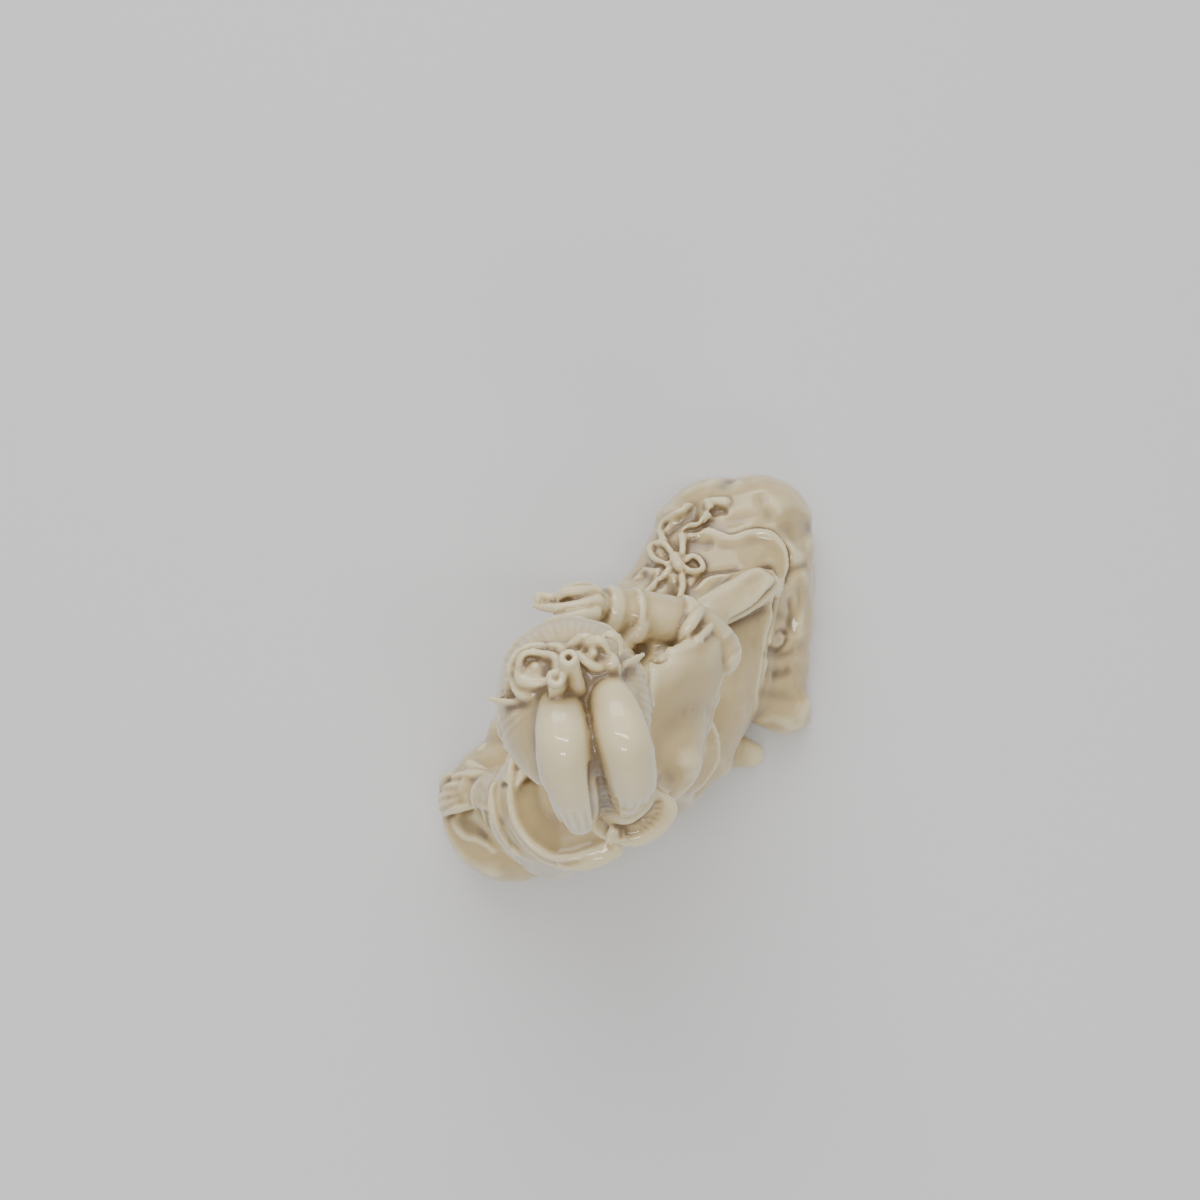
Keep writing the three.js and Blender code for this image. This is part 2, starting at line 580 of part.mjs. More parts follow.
function solidOf(vertices, index) {
  const mesh = new wasm.Mesh({
    numProp: 3,
    vertProperties: new Float32Array(vertices),
    triVerts: new Uint32Array(index),
  });
  return new wasm.Manifold(mesh);
}

function solidFrom(geometry) {
  geometry.deleteAttribute('normal');
  geometry.deleteAttribute('uv');
  const closed = mergeVertices(geometry, 1e-3);
  return solidOf(closed.attributes.position.array, closed.index.array);
}

// The cords are laid on the cloth: each place is dropped from above to the surface under it.
function dropped([x, y], lift) {
  let [above, inside] = [figureHeight / 2, 0];
  for (let z = above; z > 0; z -= 1) {
    if (surfaceDistance(x * part, y * part, z) < 0) {
      inside = z;
      break;
    }
    above = z;
  }
  for (let round = 0; round < 12; round += 1) {
    const z = (above + inside) / 2;
    if (surfaceDistance(x * part, y * part, z) < 0) inside = z;
    else above = z;
  }
  return new THREE.Vector3(x * part, y * part, inside + lift);
}

const CORD_SIDES = 6;
function cord(points, width, lift) {
  const route = new THREE.CatmullRomCurve3(points.map((p) => dropped(p, lift)));
  const section = new THREE.Shape();
  for (let side = 0; side < CORD_SIDES; side += 1) {
    const angle = (side / CORD_SIDES) * 2 * Math.PI;
    const [u, v] = [Math.cos(angle) * width / 2, Math.sin(angle) * width / 2];
    if (side === 0) section.moveTo(u, v);
    else section.lineTo(u, v);
  }
  const turns = Math.max(3, Math.round(route.getLength() / (width * 1.5)));
  const options = { steps: turns, extrudePath: route, bevelEnabled: false, curveSegments: 1 };
  return solidFrom(new THREE.ExtrudeGeometry(section, options));
}

// Waist cord: two ends come from under the sleeve to a bow, and its two tails lie on the lap.
const knot = [-12, -22];
const cordRoutes = [
  [[-3, -10], [-8, -17], knot],
  [[-15.5, -10], [-14, -17], knot],
  [knot, [-8, -25.5], [-5, -27.5], [-4.5, -24.5], [-8, -22.5], knot],
  [knot, [-16, -24], [-19.5, -23.5], [-19.5, -20.5], [-16, -20.5], knot],
  [knot, [-8.5, -29], [-8, -36], [-11, -42], [-16, -47]],
  [knot, [-15, -29], [-15, -35], [-18, -39], [-21, -41], [-23, -46], [-24, -51]],
];

const surface = thin(polygonise(surfaceDistance), KEPT_TRIANGLES);
let figurine = solidOf(surface.vertices, surface.index);
for (const route of cordRoutes) {
  figurine = figurine.add(cord(route, cordWidth, cordWidth * 0.25));
}
const knotBall = new THREE.SphereGeometry(cordWidth * 0.95, 8, 6);
knotBall.translate(...dropped(knot, cordWidth * 0.5).toArray());
figurine = figurine.add(solidFrom(knotBall));

// The two hair tubes are open at the top.
for (const [foot, top] of hairTubes) {
  const axis = new THREE.Vector3(...top).sub(new THREE.Vector3(...foot)).normalize();
  const bore = new THREE.CylinderGeometry(hairTubeBore / 2, hairTubeBore / 2, 3 * hairTubeWidth, 6);
  bore.applyQuaternion(new THREE.Quaternion().setFromUnitVectors(new THREE.Vector3(0, 1, 0), axis));
  bore.translate(...new THREE.Vector3(...top).addScaledVector(axis, hairTubeWidth * 0.9).toArray());
  figurine = figurine.subtract(solidFrom(bore));
}

// The underside is one flat face on the floor.
const floor = new THREE.BoxGeometry(figureHeight * 2, figureHeight * 2, figureHeight);
floor.translate(0, 0, -figureHeight / 2);
figurine = figurine.subtract(solidFrom(floor));

const { vertProperties, triVerts } = figurine.getMesh();
const geometry = new THREE.BufferGeometry();
geometry.setAttribute('position', new THREE.BufferAttribute(vertProperties, 3));
geometry.setIndex(new THREE.BufferAttribute(triVerts, 1));
geometry.computeBoundingBox();
const outline = geometry.boundingBox.getCenter(new THREE.Vector3());
geometry.translate(-outline.x, -outline.y, 0);
geometry.computeVertexNormals();

const porcelain = new THREE.MeshStandardMaterial({ color: 0xd8ceb6, roughness: 0.2, metalness: 0 });
const mesh = new THREE.Mesh(geometry, porcelain);
mesh.name = 'figurine';

const group = new THREE.Group();
group.add(mesh);
export default group;
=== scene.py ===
import math
import random

import bmesh
import bpy
import numpy as np
from mathutils import Euler, Matrix, Vector
from mathutils.bvhtree import BVHTree


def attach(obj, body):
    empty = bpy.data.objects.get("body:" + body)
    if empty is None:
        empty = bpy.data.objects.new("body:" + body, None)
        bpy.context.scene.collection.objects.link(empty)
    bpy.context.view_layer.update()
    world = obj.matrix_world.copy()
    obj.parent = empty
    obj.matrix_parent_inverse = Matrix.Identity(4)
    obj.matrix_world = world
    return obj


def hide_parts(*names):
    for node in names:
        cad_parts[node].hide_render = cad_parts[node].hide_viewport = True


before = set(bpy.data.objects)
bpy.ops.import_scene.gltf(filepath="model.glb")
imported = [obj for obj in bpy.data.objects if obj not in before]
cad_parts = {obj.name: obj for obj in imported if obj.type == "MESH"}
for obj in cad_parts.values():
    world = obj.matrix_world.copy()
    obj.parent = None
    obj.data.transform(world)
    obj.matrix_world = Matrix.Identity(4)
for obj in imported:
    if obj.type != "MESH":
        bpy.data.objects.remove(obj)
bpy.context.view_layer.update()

# Camera: 42 cm above the surface, a little behind the figurine, looking down at 75 degrees, so
# that her lap points up in the picture.
camera_data = bpy.data.cameras.new("camera")
camera_data.sensor_width = 36.0
camera_data.lens = 36.0
camera_data.clip_end = 20.0
camera = bpy.data.objects.new("camera", camera_data)
bpy.context.scene.collection.objects.link(camera)
camera.location = (0.0120, 0.0842, 0.420)
camera.rotation_euler = (math.radians(15.0), 0.0, math.radians(180.0))
bpy.context.scene.camera = camera

# Surface it stands on: a plain pale sheet, matt and even, far larger than the picture.
FLOOR_SIZE = 3.0
floor_mesh = bpy.data.meshes.new("floor")
floor_shape = bmesh.new()
bmesh.ops.create_grid(floor_shape, x_segments=1, y_segments=1, size=FLOOR_SIZE)
floor_shape.to_mesh(floor_mesh)
floor_shape.free()
floor = bpy.data.objects.new("floor", floor_mesh)
bpy.context.scene.collection.objects.link(floor)
floor_material = bpy.data.materials.new("pale_surface")
floor_material.use_nodes = True
floor_shader = floor_material.node_tree.nodes["Principled BSDF"]
floor_shader.inputs["Base Color"].default_value = (0.73, 0.73, 0.735, 1.0)
floor_shader.inputs["Roughness"].default_value = 0.7
floor_mesh.materials.append(floor_material)

# Light: a weak sky, a window-like panel and a bright ceiling beyond her lap.
world = bpy.data.worlds.new("sky")
world.use_nodes = True
world.node_tree.nodes["Background"].inputs["Color"].default_value = (0.93, 0.96, 1.0, 1.0)
world.node_tree.nodes["Background"].inputs["Strength"].default_value = 0.44
bpy.context.scene.world = world


def panel_light(name, place, target, size, power, colour):
    data = bpy.data.lights.new(name, "AREA")
    data.shape = "RECTANGLE"
    data.size, data.size_y = size
    data.energy = power
    data.color = colour
    lamp = bpy.data.objects.new(name, data)
    bpy.context.scene.collection.objects.link(lamp)
    lamp.location = place
    aim = Vector(place) - Vector(target)
    lamp.rotation_euler = aim.to_track_quat("Z", "Y").to_euler()


panel_light("window", (0.30, -1.30, 1.20), (0.0, 0.0, 0.05), (1.6, 1.0), 13.0, (1.0, 0.985, 0.96))
panel_light("bright_ceiling", (0.0, -1.0, 1.7), (0.0, 0.0, 0.05), (3.0, 2.4), 15.0, (0.97, 0.98, 1.0))
# Two ceiling lamps, seen as short bright streaks in the glaze.
panel_light("ceiling_near", (0.05, 0.42, 1.50), (0.0, 0.05, 0.12), (1.5, 0.15), 10.0, (1.0, 0.97, 0.93))
panel_light("ceiling_far", (0.0, 1.45, 1.25), (0.0, 0.05, 0.12), (0.6, 0.12), 4.5, (1.0, 0.97, 0.93))

# Figurine: one slip cast porcelain body, modelled by hand in the mould and glazed all over.
# The solid is smoothed to a soft base, crisp modelled parts are added to it, all is fused into
# one skin, and the carving is pressed into that skin.
# Places are in millimetres in the sculpt's own frame; this is where the part's origin lies in it.
ORIGIN = np.array([0.005, 2.758, 0.0])
PER_METRE = 1000.0
BASE_VOXEL = 1.1
BASE_ROUNDS = 14
SKIN_VOXEL = 0.62
SKIN_ROUNDS = 5
SKIN_TRIANGLES = 190000
# Each round of smoothing moves a point this share of the way to its neighbours' mean, and a round
# that keeps the volume then moves it this share back.
EVEN_SHARE = 0.5
VOLUME_BACK = 0.52


def object_of(name, mesh):
    made = bpy.data.objects.new(name, mesh)
    bpy.context.scene.collection.objects.link(made)
    return made


def with_modifier(mesh, kind, **settings):
    """A new mesh: the given one after one modifier."""
    holder = object_of("modifier_holder", mesh)
    modifier = holder.modifiers.new(kind, kind)
    for key, value in settings.items():
        setattr(modifier, key, value)
    graph = bpy.context.evaluated_depsgraph_get()
    result = bpy.data.meshes.new_from_object(holder.evaluated_get(graph))
    bpy.data.objects.remove(holder)
    bpy.data.meshes.remove(mesh)
    return result


def points_of(mesh):
    flat = np.empty(len(mesh.vertices) * 3)
    mesh.vertices.foreach_get("co", flat)
    return flat.reshape(-1, 3)


def normals_of(mesh):
    flat = np.empty(len(mesh.vertices) * 3)
    mesh.vertices.foreach_get("normal", flat)
    return flat.reshape(-1, 3)


def move_points(mesh, points):
    mesh.vertices.foreach_set("co", points.ravel())
    mesh.update()


class Neighbours:
    """Averages over the edges that meet at each vertex."""

    def __init__(self, mesh):
        pairs = np.empty(len(mesh.edges) * 2, int)
        mesh.edges.foreach_get("vertices", pairs)
        self.a, self.b = pairs.reshape(-1, 2).T
        self.size = len(mesh.vertices)
        self.count = np.bincount(self.a, minlength=self.size) + np.bincount(self.b, minlength=self.size)

    def mean(self, values):
        total = np.empty_like(values)
        for column in range(values.shape[1]):
            total[:, column] = np.bincount(self.a, values[self.b, column], self.size)
            total[:, column] += np.bincount(self.b, values[self.a, column], self.size)
        return total / self.count[:, None]

    def smooth(self, values, rounds, back=0.0):
        """Evens values out; with back, each round is followed by one that keeps the volume."""
        for _ in range(rounds):
            values = values + EVEN_SHARE * (self.mean(values) - values)
            if back:
                values = values - back * (self.mean(values) - values)
        return values


# The soft base: the solid in millimetres, remade with even faces and rounded.
base_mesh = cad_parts["figurine"].data.copy()
base_mesh.materials.clear()
base_shape = bmesh.new()
base_shape.from_mesh(base_mesh)
bmesh.ops.remove_doubles(base_shape, verts=base_shape.verts, dist=1e-6)
base_shape.to_mesh(base_mesh)
base_shape.free()
move_points(base_mesh, points_of(base_mesh) * PER_METRE + ORIGIN)
base_mesh = with_modifier(base_mesh, "REMESH", mode="VOXEL", voxel_size=BASE_VOXEL)
move_points(base_mesh, Neighbours(base_mesh).smooth(points_of(base_mesh), BASE_ROUNDS, VOLUME_BACK))


CURVE_STEPS = 24


def spline(stops, spacing=None, count=None):
    """Even points on a smooth curve through the stops."""
    stops = np.array(stops, float)
    padded = np.vstack([2 * stops[0] - stops[1], stops, 2 * stops[-1] - stops[-2]])
    dense = []
    for i in range(len(stops) - 1):
        p0, p1, p2, p3 = padded[i:i + 4]
        for t in np.linspace(0.0, 1.0, CURVE_STEPS, endpoint=False):
            dense.append(0.5 * (2 * p1 + (p2 - p0) * t + (2 * p0 - 5 * p1 + 4 * p2 - p3) * t**2
                                + (3 * p1 - p0 - 3 * p2 + p3) * t**3))
    dense = np.array(dense + [stops[-1]])
    run = np.concatenate([[0.0], np.cumsum(np.linalg.norm(np.diff(dense[:, :3], axis=0), axis=1))])
    if count is None:
        count = max(4, int(math.ceil(run[-1] / spacing)) + 1)
    even = np.linspace(0.0, run[-1], count)
    return np.stack([np.interp(even, run, dense[:, k]) for k in range(dense.shape[1])], axis=1)


def unit(vectors):
    return vectors / np.maximum(np.linalg.norm(vectors, axis=-1, keepdims=True), 1e-9)


def shrink_near(mesh, stops, reach, amount):
    """Takes the soft base in along its normals, near a curve, where crisp modelling replaces it."""
    points, normals = points_of(mesh), normals_of(mesh)
    curve = spline(stops, 1.0) if len(stops) > 1 else np.array(stops, float)
    gap = np.full(len(points), 1e9)
    for place in curve:
        gap = np.minimum(gap, np.linalg.norm(points - place, axis=1))
    share = np.clip((reach - gap) / (0.5 * reach), 0.0, 1.0)
    move_points(mesh, points - normals * (share * amount)[:, None])


# Two places that follow each other in the picture and lie farther apart are on different forms.
LEAP = 15.0


class Ground:
    """A surface that pieces and strokes are laid on."""

    def __init__(self, mesh):
        corners = [v.co[:] for v in mesh.vertices]
        self.tree = BVHTree.FromPolygons(corners, [p.vertices[:] for p in mesh.polygons])

    def lay(self, places):
        """The nearest places on the surface."""
        return [[*self.tree.find_nearest(Vector(place))[0]] for place in places]

    def seen(self, pixels, lift=0.0):
        """The places on the surface behind pixels of the 1200-pixel picture. Where the line of sight
        leaps from one form to another, only the longest run is kept."""
        runs = [[]]
        for px, py in pixels:
            spot, normal, _, _ = self.tree.ray_cast(EYE, sight(px, py))
            if spot is None:
                continue
            place = [*(spot + normal * lift)]
            if runs[-1] and math.dist(runs[-1][-1], place) > LEAP:
                runs.append([])
            runs[-1].append(place)
        return max(runs, key=len)


# The main view's eye in the sculpt's frame, and the line of sight through a pixel.
PICTURE = 1200.0
EYE = Vector(camera.location) * PER_METRE + Vector(ORIGIN)
EYE_TURN = camera.rotation_euler.to_matrix()


def sight(px, py):
    return (EYE_TURN @ Vector((px / PICTURE - 0.5, 0.5 - py / PICTURE, -1.0))).normalized()


def at(px, py, z):
    """The place behind a pixel, at a height."""
    ray = sight(px, py)
    return tuple(EYE + ray * ((z - EYE.z) / ray.z))


def row(*stops):
    return [at(*stop) for stop in stops]


# The soft base gives way where crisp modelling takes its place.
shrink_near(base_mesh, [(34, 44, 93), (35, 54, 95), (33.5, 61, 96), (29, 67, 97), (22, 70.5, 98),
                        (15, 71, 100),
                        (8, 68, 102)], 6.0, 3.4)
shrink_near(base_mesh, [(18.6, 33.5, 168), (18, 36, 160)], 6.5, 2.4)
shrink_near(base_mesh, [(26, 34, 159)], 6.0, 1.8)
shrink_near(base_mesh, [(12, 30, 159)], 6.0, 1.8)
shrink_near(base_mesh, [(16, 3, 102), (24, 5, 104), (31, 10, 103)], 6.5, 1.8)
shrink_near(base_mesh, [(36, 37, 150), (28, 38, 154)], 3.5, 1.2)
shrink_near(base_mesh, [(2.5, 29, 150), (9, 34, 155)], 3.5, 1.2)
shrink_near(base_mesh, [(58, 41, 30), (60, 47, 27), (58, 52, 28)], 5.5, 1.6)
shrink_near(base_mesh, [(20, 56, 146), (18.3, 60, 138), (17, 62, 127)], 9.0, 1.2)
shrink_near(base_mesh, [(5.6, 53, 150), (4.6, 57, 139), (5.6, 59, 127)], 9.0, 1.2)
move_points(base_mesh, Neighbours(base_mesh).smooth(points_of(base_mesh), 6, VOLUME_BACK))


def relax_near(mesh, places, rounds=50):
    """Evens the soft base round a few places. Each place has its reach as a fourth number."""
    points = points_of(mesh)
    share = np.zeros(len(points))
    for *place, reach in places:
        share = np.maximum(share, np.exp(-np.square(np.linalg.norm(points - place, axis=1) / reach)))
    even = Neighbours(mesh).smooth(points, rounds)
    move_points(mesh, points + (even - points) * np.clip(share * 1.4, 0.0, 1.0)[:, None])


ground = Ground(base_mesh)
calm = [((793, 523), 7.0), ((775, 655), 7.0), ((775, 672), 8.0), ((775, 690), 7.0), ((780, 636), 6.0),
        ((792, 600), 6.0),
        ((671, 729), 9.0), ((660, 758), 7.0),
        ((488, 830), 5.0), ((503, 838), 5.0)]
for _ in range(2):
    relax_near(base_mesh, [(*ground.seen([pixel])[0], reach) for pixel, reach in calm])
    ground = Ground(base_mesh)
shrink_near(base_mesh, row((703, 655, 91), (697, 680, 92), (685, 710, 95), (672, 735, 96),
                           (655, 768, 99)), 14.0, 5.0)
ground = Ground(base_mesh)
crisp = bmesh.new()


def ball(centre, radii, turn=(0.0, 0.0, 0.0)):
    angles = Euler([math.radians(a) for a in turn])
    place = Matrix.Translation(centre) @ angles.to_matrix().to_4x4() @ Matrix.Diagonal((*radii, 1.0))
    bmesh.ops.create_icosphere(crisp, subdivisions=4, radius=1.0, matrix=place)


def skin_rings(rings):
    """A closed skin over rings of points."""
    made = [[crisp.verts.new(p) for p in ring] for ring in rings]
    sides = len(made[0])
    for lower, upper in zip(made, made[1:]):
        for i in range(sides):
            j = (i + 1) % sides
            crisp.faces.new((lower[i], lower[j], upper[j], upper[i]))
    crisp.faces.new(made[0][::-1])
    crisp.faces.new(made[-1])


def ring_of(centre, side, above, radius, rise=1.0, sides=24):
    angles = np.linspace(0.0, 2.0 * math.pi, sides, endpoint=False)
    return [centre + radius * (math.cos(a) * side + rise * math.sin(a) * above) for a in angles]


TUBE_STEP = 0.5


def tube(stops, radius=None, sides=16, flat=1.0, up=None):
    """A round or flattened rod with round ends. A stop may have its own radius as a fourth number;
    flat is thickness over width, and up is the direction that the thickness is measured in."""
    stops = [list(s) if len(s) == 4 else [*s, radius] for s in stops]
    if len(stops) < 2:
        return
    line = spline(stops, TUBE_STEP)
    centres, radii = line[:, :3], line[:, 3]
    tangents = unit(np.gradient(centres, axis=0))
    guide = np.array(up if up is not None else (0.31, 0.22, 0.92), float)
    frames = []
    for centre, tangent, size in zip(centres, tangents, radii):
        across = unit(np.cross(tangent, guide))
        above = np.cross(across, tangent)
        if up is None:
            guide = above
        frames.append((centre, tangent, across, above, size))
    round_end = [(share, math.sqrt(1.0 - share**2)) for share in (0.25, 0.6, 0.85, 0.97)]
    start, end = frames[0], frames[-1]
    rings = [(start[0] - start[1] * start[4] * out, *start[1:4], start[4] * share) for share,
             out in round_end]
    rings += frames
    rings += [(end[0] + end[1] * end[4] * out, *end[1:4], end[4] * share) for share,
              out in round_end[::-1]]
    skin_rings([ring_of(c, across, above, size, flat, sides) for c, _, across, above, size in rings])


def cloth(rows, thickness, spacing=1.0):
    """A sheet of even thickness through rows of places, row by row and along each row."""
    across = max(len(spline(places, spacing)) for places in rows)
    lines = np.array([spline(places, count=across) for places in rows])
    down = max(len(spline(lines[:, i], spacing)) for i in range(0, across, 4))
    grid = np.array([spline(lines[:, i], count=down) for i in range(across)])
    normals = unit(np.cross(np.gradient(grid, axis=0), np.gradient(grid, axis=1)))
    top, bottom = [[[crisp.verts.new(p) for p in line] for line in grid + normals * thickness * side]
                   for side in (0.5, -0.5)]
    n, m = grid.shape[:2]
    for i in range(n - 1):
        for j in range(m - 1):
            crisp.faces.new((top[i][j], top[i + 1][j], top[i + 1][j + 1], top[i][j + 1]))
            crisp.faces.new((bottom[i][j], bottom[i][j + 1], bottom[i + 1][j + 1], bottom[i + 1][j]))
    rim = [(i, 0) for i in range(n)] + [(n - 1, j) for j in range(1, m)]
    rim += [(i, m - 1) for i in range(n - 2, -1, -1)] + [(0, j) for j in range(m - 2, 0, -1)]
    for (i, j), (k, l) in zip(rim, rim[1:] + rim[:1]):
        crisp.faces.new((top[i][j], bottom[i][j], bottom[k][l], top[k][l]))


# Cape: a thin free edge round the right elbow, smooth over the arm, and its lining in the slot.
cape_edge = row((700, 612, 84), (713, 621, 85), (724, 633.5, 85), (725.5, 655, 83), (721.5, 677, 82),
                (708.5, 709, 81), (693, 742, 83), (671.6, 776.6, 88), (668, 797, 95))
cloth([
    cape_edge,
    row((697, 630, 92), (707, 644, 92), (708, 660, 92), (703, 681, 91), (691, 710, 91), (677, 739, 92.5),
        (662, 768, 96), (658, 793, 100)),
    row((676, 647, 97), (680, 657, 99), (679, 672, 99.5), (673, 691, 99.5), (664, 714, 99.5),
        (655, 737, 100),
        (646, 761, 101), (643, 784, 102)),
    row((648, 665, 99.5), (649, 672, 102.5), (650, 684, 104), (646, 700, 104.5), (641, 717, 104.5),
        (636, 736, 104.5),
        (632, 757, 104), (630, 778, 103)),
], 2.0)
cloth([row((707.3, 714, 68), (716, 727, 64), (719.5, 742, 60), (717.5, 763, 55), (702, 785.5, 50),
           (690, 793, 48)),
       row((700, 720, 70), (700, 735, 66), (700, 750, 63), (694, 766, 60), (684, 782, 58),
           (676, 790, 57))], 1.5)

# Shawl: a smooth dish of cloth behind the neck, with a thin rim, and a rounded lap over it.
shawl_rim = row((517, 742, 97), (510.5, 760, 98.5), (509, 778, 99.5), (508.7, 800, 100),
                (514.4, 823, 100),
                (529.7, 844.4, 100), (550.8, 857.8, 100.5), (573, 858.5, 101.5), (596, 850.5, 102.5),
                (612, 842, 103.5))
shawl_wall = [(x + 0.6 * (x - 20) / 16, y + 0.6 * (y - 55) / 16, z - 8.0) for x, y, z in shawl_rim]
shawl_heart = at(563, 797, 98.0)


def towards(places, target, share, drop):
    return [tuple(p * (1 - share) + t * share - (drop if k == 2 else 0.0)
                  for k, (p, t) in enumerate(zip(place, target))) for place in places]


cloth([shawl_wall, towards(shawl_rim, shawl_heart, 0.0, 3.0), shawl_rim,
       towards(shawl_rim, shawl_heart, 0.15, 1.0),
       towards(shawl_rim, shawl_heart, 0.5, 1.4), towards(shawl_rim, shawl_heart, 0.9, 0.6)], 1.0)
cloth([shawl_wall, towards(shawl_rim, shawl_heart, 0.08, 3.5)], 3.2)
ball(shawl_heart[:2] + (95.5,), (12, 11, 3.0))
ball((29, 43, 90), (6, 6, 5))
tube([(*at(562, 864, 98), 1.4), (*at(580, 863, 99.5), 2.4), (*at(600, 856, 100.8), 2.9),
      (*at(614, 849.5, 101), 2.6)],
     flat=0.62, up=(-0.1, 0.5, 0.85))
# The robe's own collar is a rounded edge below the shawl.
under = [(495.5, 787), (494.5, 806), (502, 829), (517, 851.5), (542, 866.5), (561, 872.5)]
under_sizes = (1.5, 1.7, 1.8, 1.8, 1.7, 1.4)
COLLAR_LOW = 76.0
collar = [(*place, size) for place, size in zip(ground.seen(under, 0.1), under_sizes)]
tube([stop for stop in collar if stop[2] > COLLAR_LOW])

# Hair: two thick loops, smooth and round, blunt at their lower ends.
hair_loops = [
    [(20.8, 38.5, 154, 4.4), (20.6, 42.5, 158, 5.4), (20.2, 48.0, 160.5, 5.9), (19.4, 53.5, 156, 6.0),
     (18.4, 57.5, 148, 5.9), (17.6, 60.4, 138, 5.5), (16.9, 62.6, 127.5, 4.4)],
    [(10.2, 36.5, 154, 4.2), (9.0, 41.5, 158.5, 5.4), (7.2, 47.5, 160.5, 5.9), (5.8, 52.5, 155.5, 6.0),
     (4.9, 55.4, 147, 5.9), (4.9, 56.8, 139, 5.4), (5.6, 57.2, 133, 4.5)],
]
for loop in hair_loops:
    tube(loop, sides=32)

# Hair ornament: two short tubes, open at the top, between two flowers.
TUBE_BORE = 0.66
for foot, top, width in (((17.2, 38.6, 155), (18.7, 32.6, 171), 2.25),
                         ((20.6, 38.6, 155), (21.5, 36.7, 169), 2.2)):
    axis = unit(np.array(top, float) - np.array(foot, float))
    side = unit(np.cross(axis, (1.0, 0.0, 0.0)))
    other = np.cross(axis, side)
    profile = [(width * 1.2, -16.0), (width * 0.95, -7.0), (width * 0.92, -2.2), (width, -0.8),
               (width * 0.93, 0.0),
               (width * 0.6, 0.15), (TUBE_BORE + 0.1, -0.4), (TUBE_BORE, -3.5), (0.1, -3.8)]
    skin_rings([ring_of(np.array(top) + axis * z, side, other, r) for r, z in profile])
# The left flower: curled petals round a dark heart with a bud.
tube([(31.6, 34.6, 154.6, 0.9), (30.2, 37.0, 155.2, 1.5), (27.2, 38.2, 155.8, 1.6),
      (24.2, 37.8, 156.6, 1.1)])
tube([(30.6, 32.6, 155.8, 0.9), (29.4, 34.9, 157.2, 1.3), (26.6, 35.8, 157.8, 1.3),
      (24.0, 35.4, 158.2, 0.9)])
tube([(30.2, 31.8, 156.4), (29.4, 29.4, 157.4), (27.2, 28.6, 157.8), (25.0, 29.0, 157.6)], 0.85)
tube([(24.6, 29.2, 157.6), (22.6, 29.6, 158.4), (21.6, 31.6, 158.6), (22.0, 33.6, 158.0)], 1.0, flat=0.7)
tube([(32.4, 32.6, 154.2), (31.4, 29.6, 155.0), (28.8, 27.2, 155.2), (25.2, 26.6, 155.2)], 1.0)
tube([(23.4, 27.0, 155.6), (21.0, 27.6, 156.6), (20.2, 29.6, 157.0)], 1.1, flat=0.7)
ball((26.4, 32.0, 156.8), (1.15, 1.15, 1.6))
ball((27.0, 30.6, 155.4), (2.4, 2.0, 1.2))
# The right flower: curled leaves, a bud and a stem.
tube([(20.6, 28.4, 155.5, 0.7), (17.8, 26.6, 157.6, 1.2), (15.2, 25.4, 158.6, 1.2),
      (12.6, 26.2, 157.6, 0.7)], flat=0.75)
tube([(15.6, 27.8, 158.4, 0.7), (13.6, 26.6, 160.4, 1.1), (11.6, 26.9, 160.8, 1.1),
      (10.2, 29.0, 159.0, 0.8)])
tube([(11.6, 25.4, 158.4, 0.7), (9.4, 24.9, 158.8, 1.1), (7.6, 26.2, 157.4, 1.0),
      (7.4, 28.6, 155.8, 0.7)], flat=0.8)
tube([(17.0, 29.2, 159.6, 0.7), (15.4, 31.2, 160.2, 1.0), (12.9, 32.4, 159.4, 1.0),
      (10.6, 31.4, 158.2, 0.7)])
tube([(16.6, 32.8, 157.8, 0.8), (13.4, 34.6, 157.4, 1.2), (10.2, 34.4, 156.2, 1.0),
      (8.4, 32.6, 155.6, 0.7)])
tube([(9.8, 30.2, 157.4, 0.7), (8.2, 31.6, 156.8, 1.0), (8.0, 33.8, 156.2, 0.8)])
ball((13.6, 29.2, 159.4), (1.3, 1.3, 1.5))
ball((17.9, 30.0, 157.6), (1.4, 1.0, 1.4))
# Turned-up pointed rims run out from the flowers over the hair, as thin upright leaves.
left_rim = [(37.9, 37.6, 151.0), (33.5, 38.7, 152.8), (29.6, 38.9, 154.6), (26.8, 39.4, 155.8),
            (25.3, 40.8, 156.2),
            (26.2, 42.4, 155.2), (27.4, 45.0, 152.4)]
right_rim = [(1.6, 27.3, 150.2), (5.0, 29.3, 152.6), (7.0, 31.5, 154.4), (8.0, 33.7, 155.8),
             (8.2, 36.4, 156.4)]
for rim in (left_rim, right_rim):
    foot = [(x + (18 - x) * 0.06, y + 1.0, z - 3.6) for x, y, z in rim]
    foot[0] = tuple(np.array(rim[0]) + (0.0, 0.2, -0.5))
    cloth([rim, foot], 1.15, 0.6)

# Nape: a fan of combed hair under the right loop, with a thin rim.
fan_rim = row((664, 797, 109), (662.7, 806, 108.5), (661, 813, 108), (653, 823.5, 108),
              (642.6, 832, 108.5),
              (633, 837, 109), (617.7, 842, 110), (604.4, 844.4, 111))
fan_foot = row((640, 790, 113), (640, 800, 113), (636, 810, 113), (628, 818, 113), (618, 826, 113),
               (606, 834, 112.5))
cloth([fan_foot, towards(fan_rim, at(612, 806, 112), 0.3, -1.0), fan_rim], 1.4)

# Face: calm and plain, with closed eyes, set by the usual thirds of a head.
HEAD_CENTRE = Vector((18.0, 38.0, 138.0))
HEAD_SIZE = Vector((37.0, 42.0, 42.0))
HEAD_TURN = Euler((math.radians(9.0), 0.0, math.radians(12.0)), "XYZ").to_matrix()


def on_head(x, y, z):
    """A place on the head, in shares of its size: x to her left, y to the back, z up."""
    return tuple(HEAD_CENTRE + HEAD_TURN @ Vector((x * HEAD_SIZE.x, y * HEAD_SIZE.y, z * HEAD_SIZE.z)))


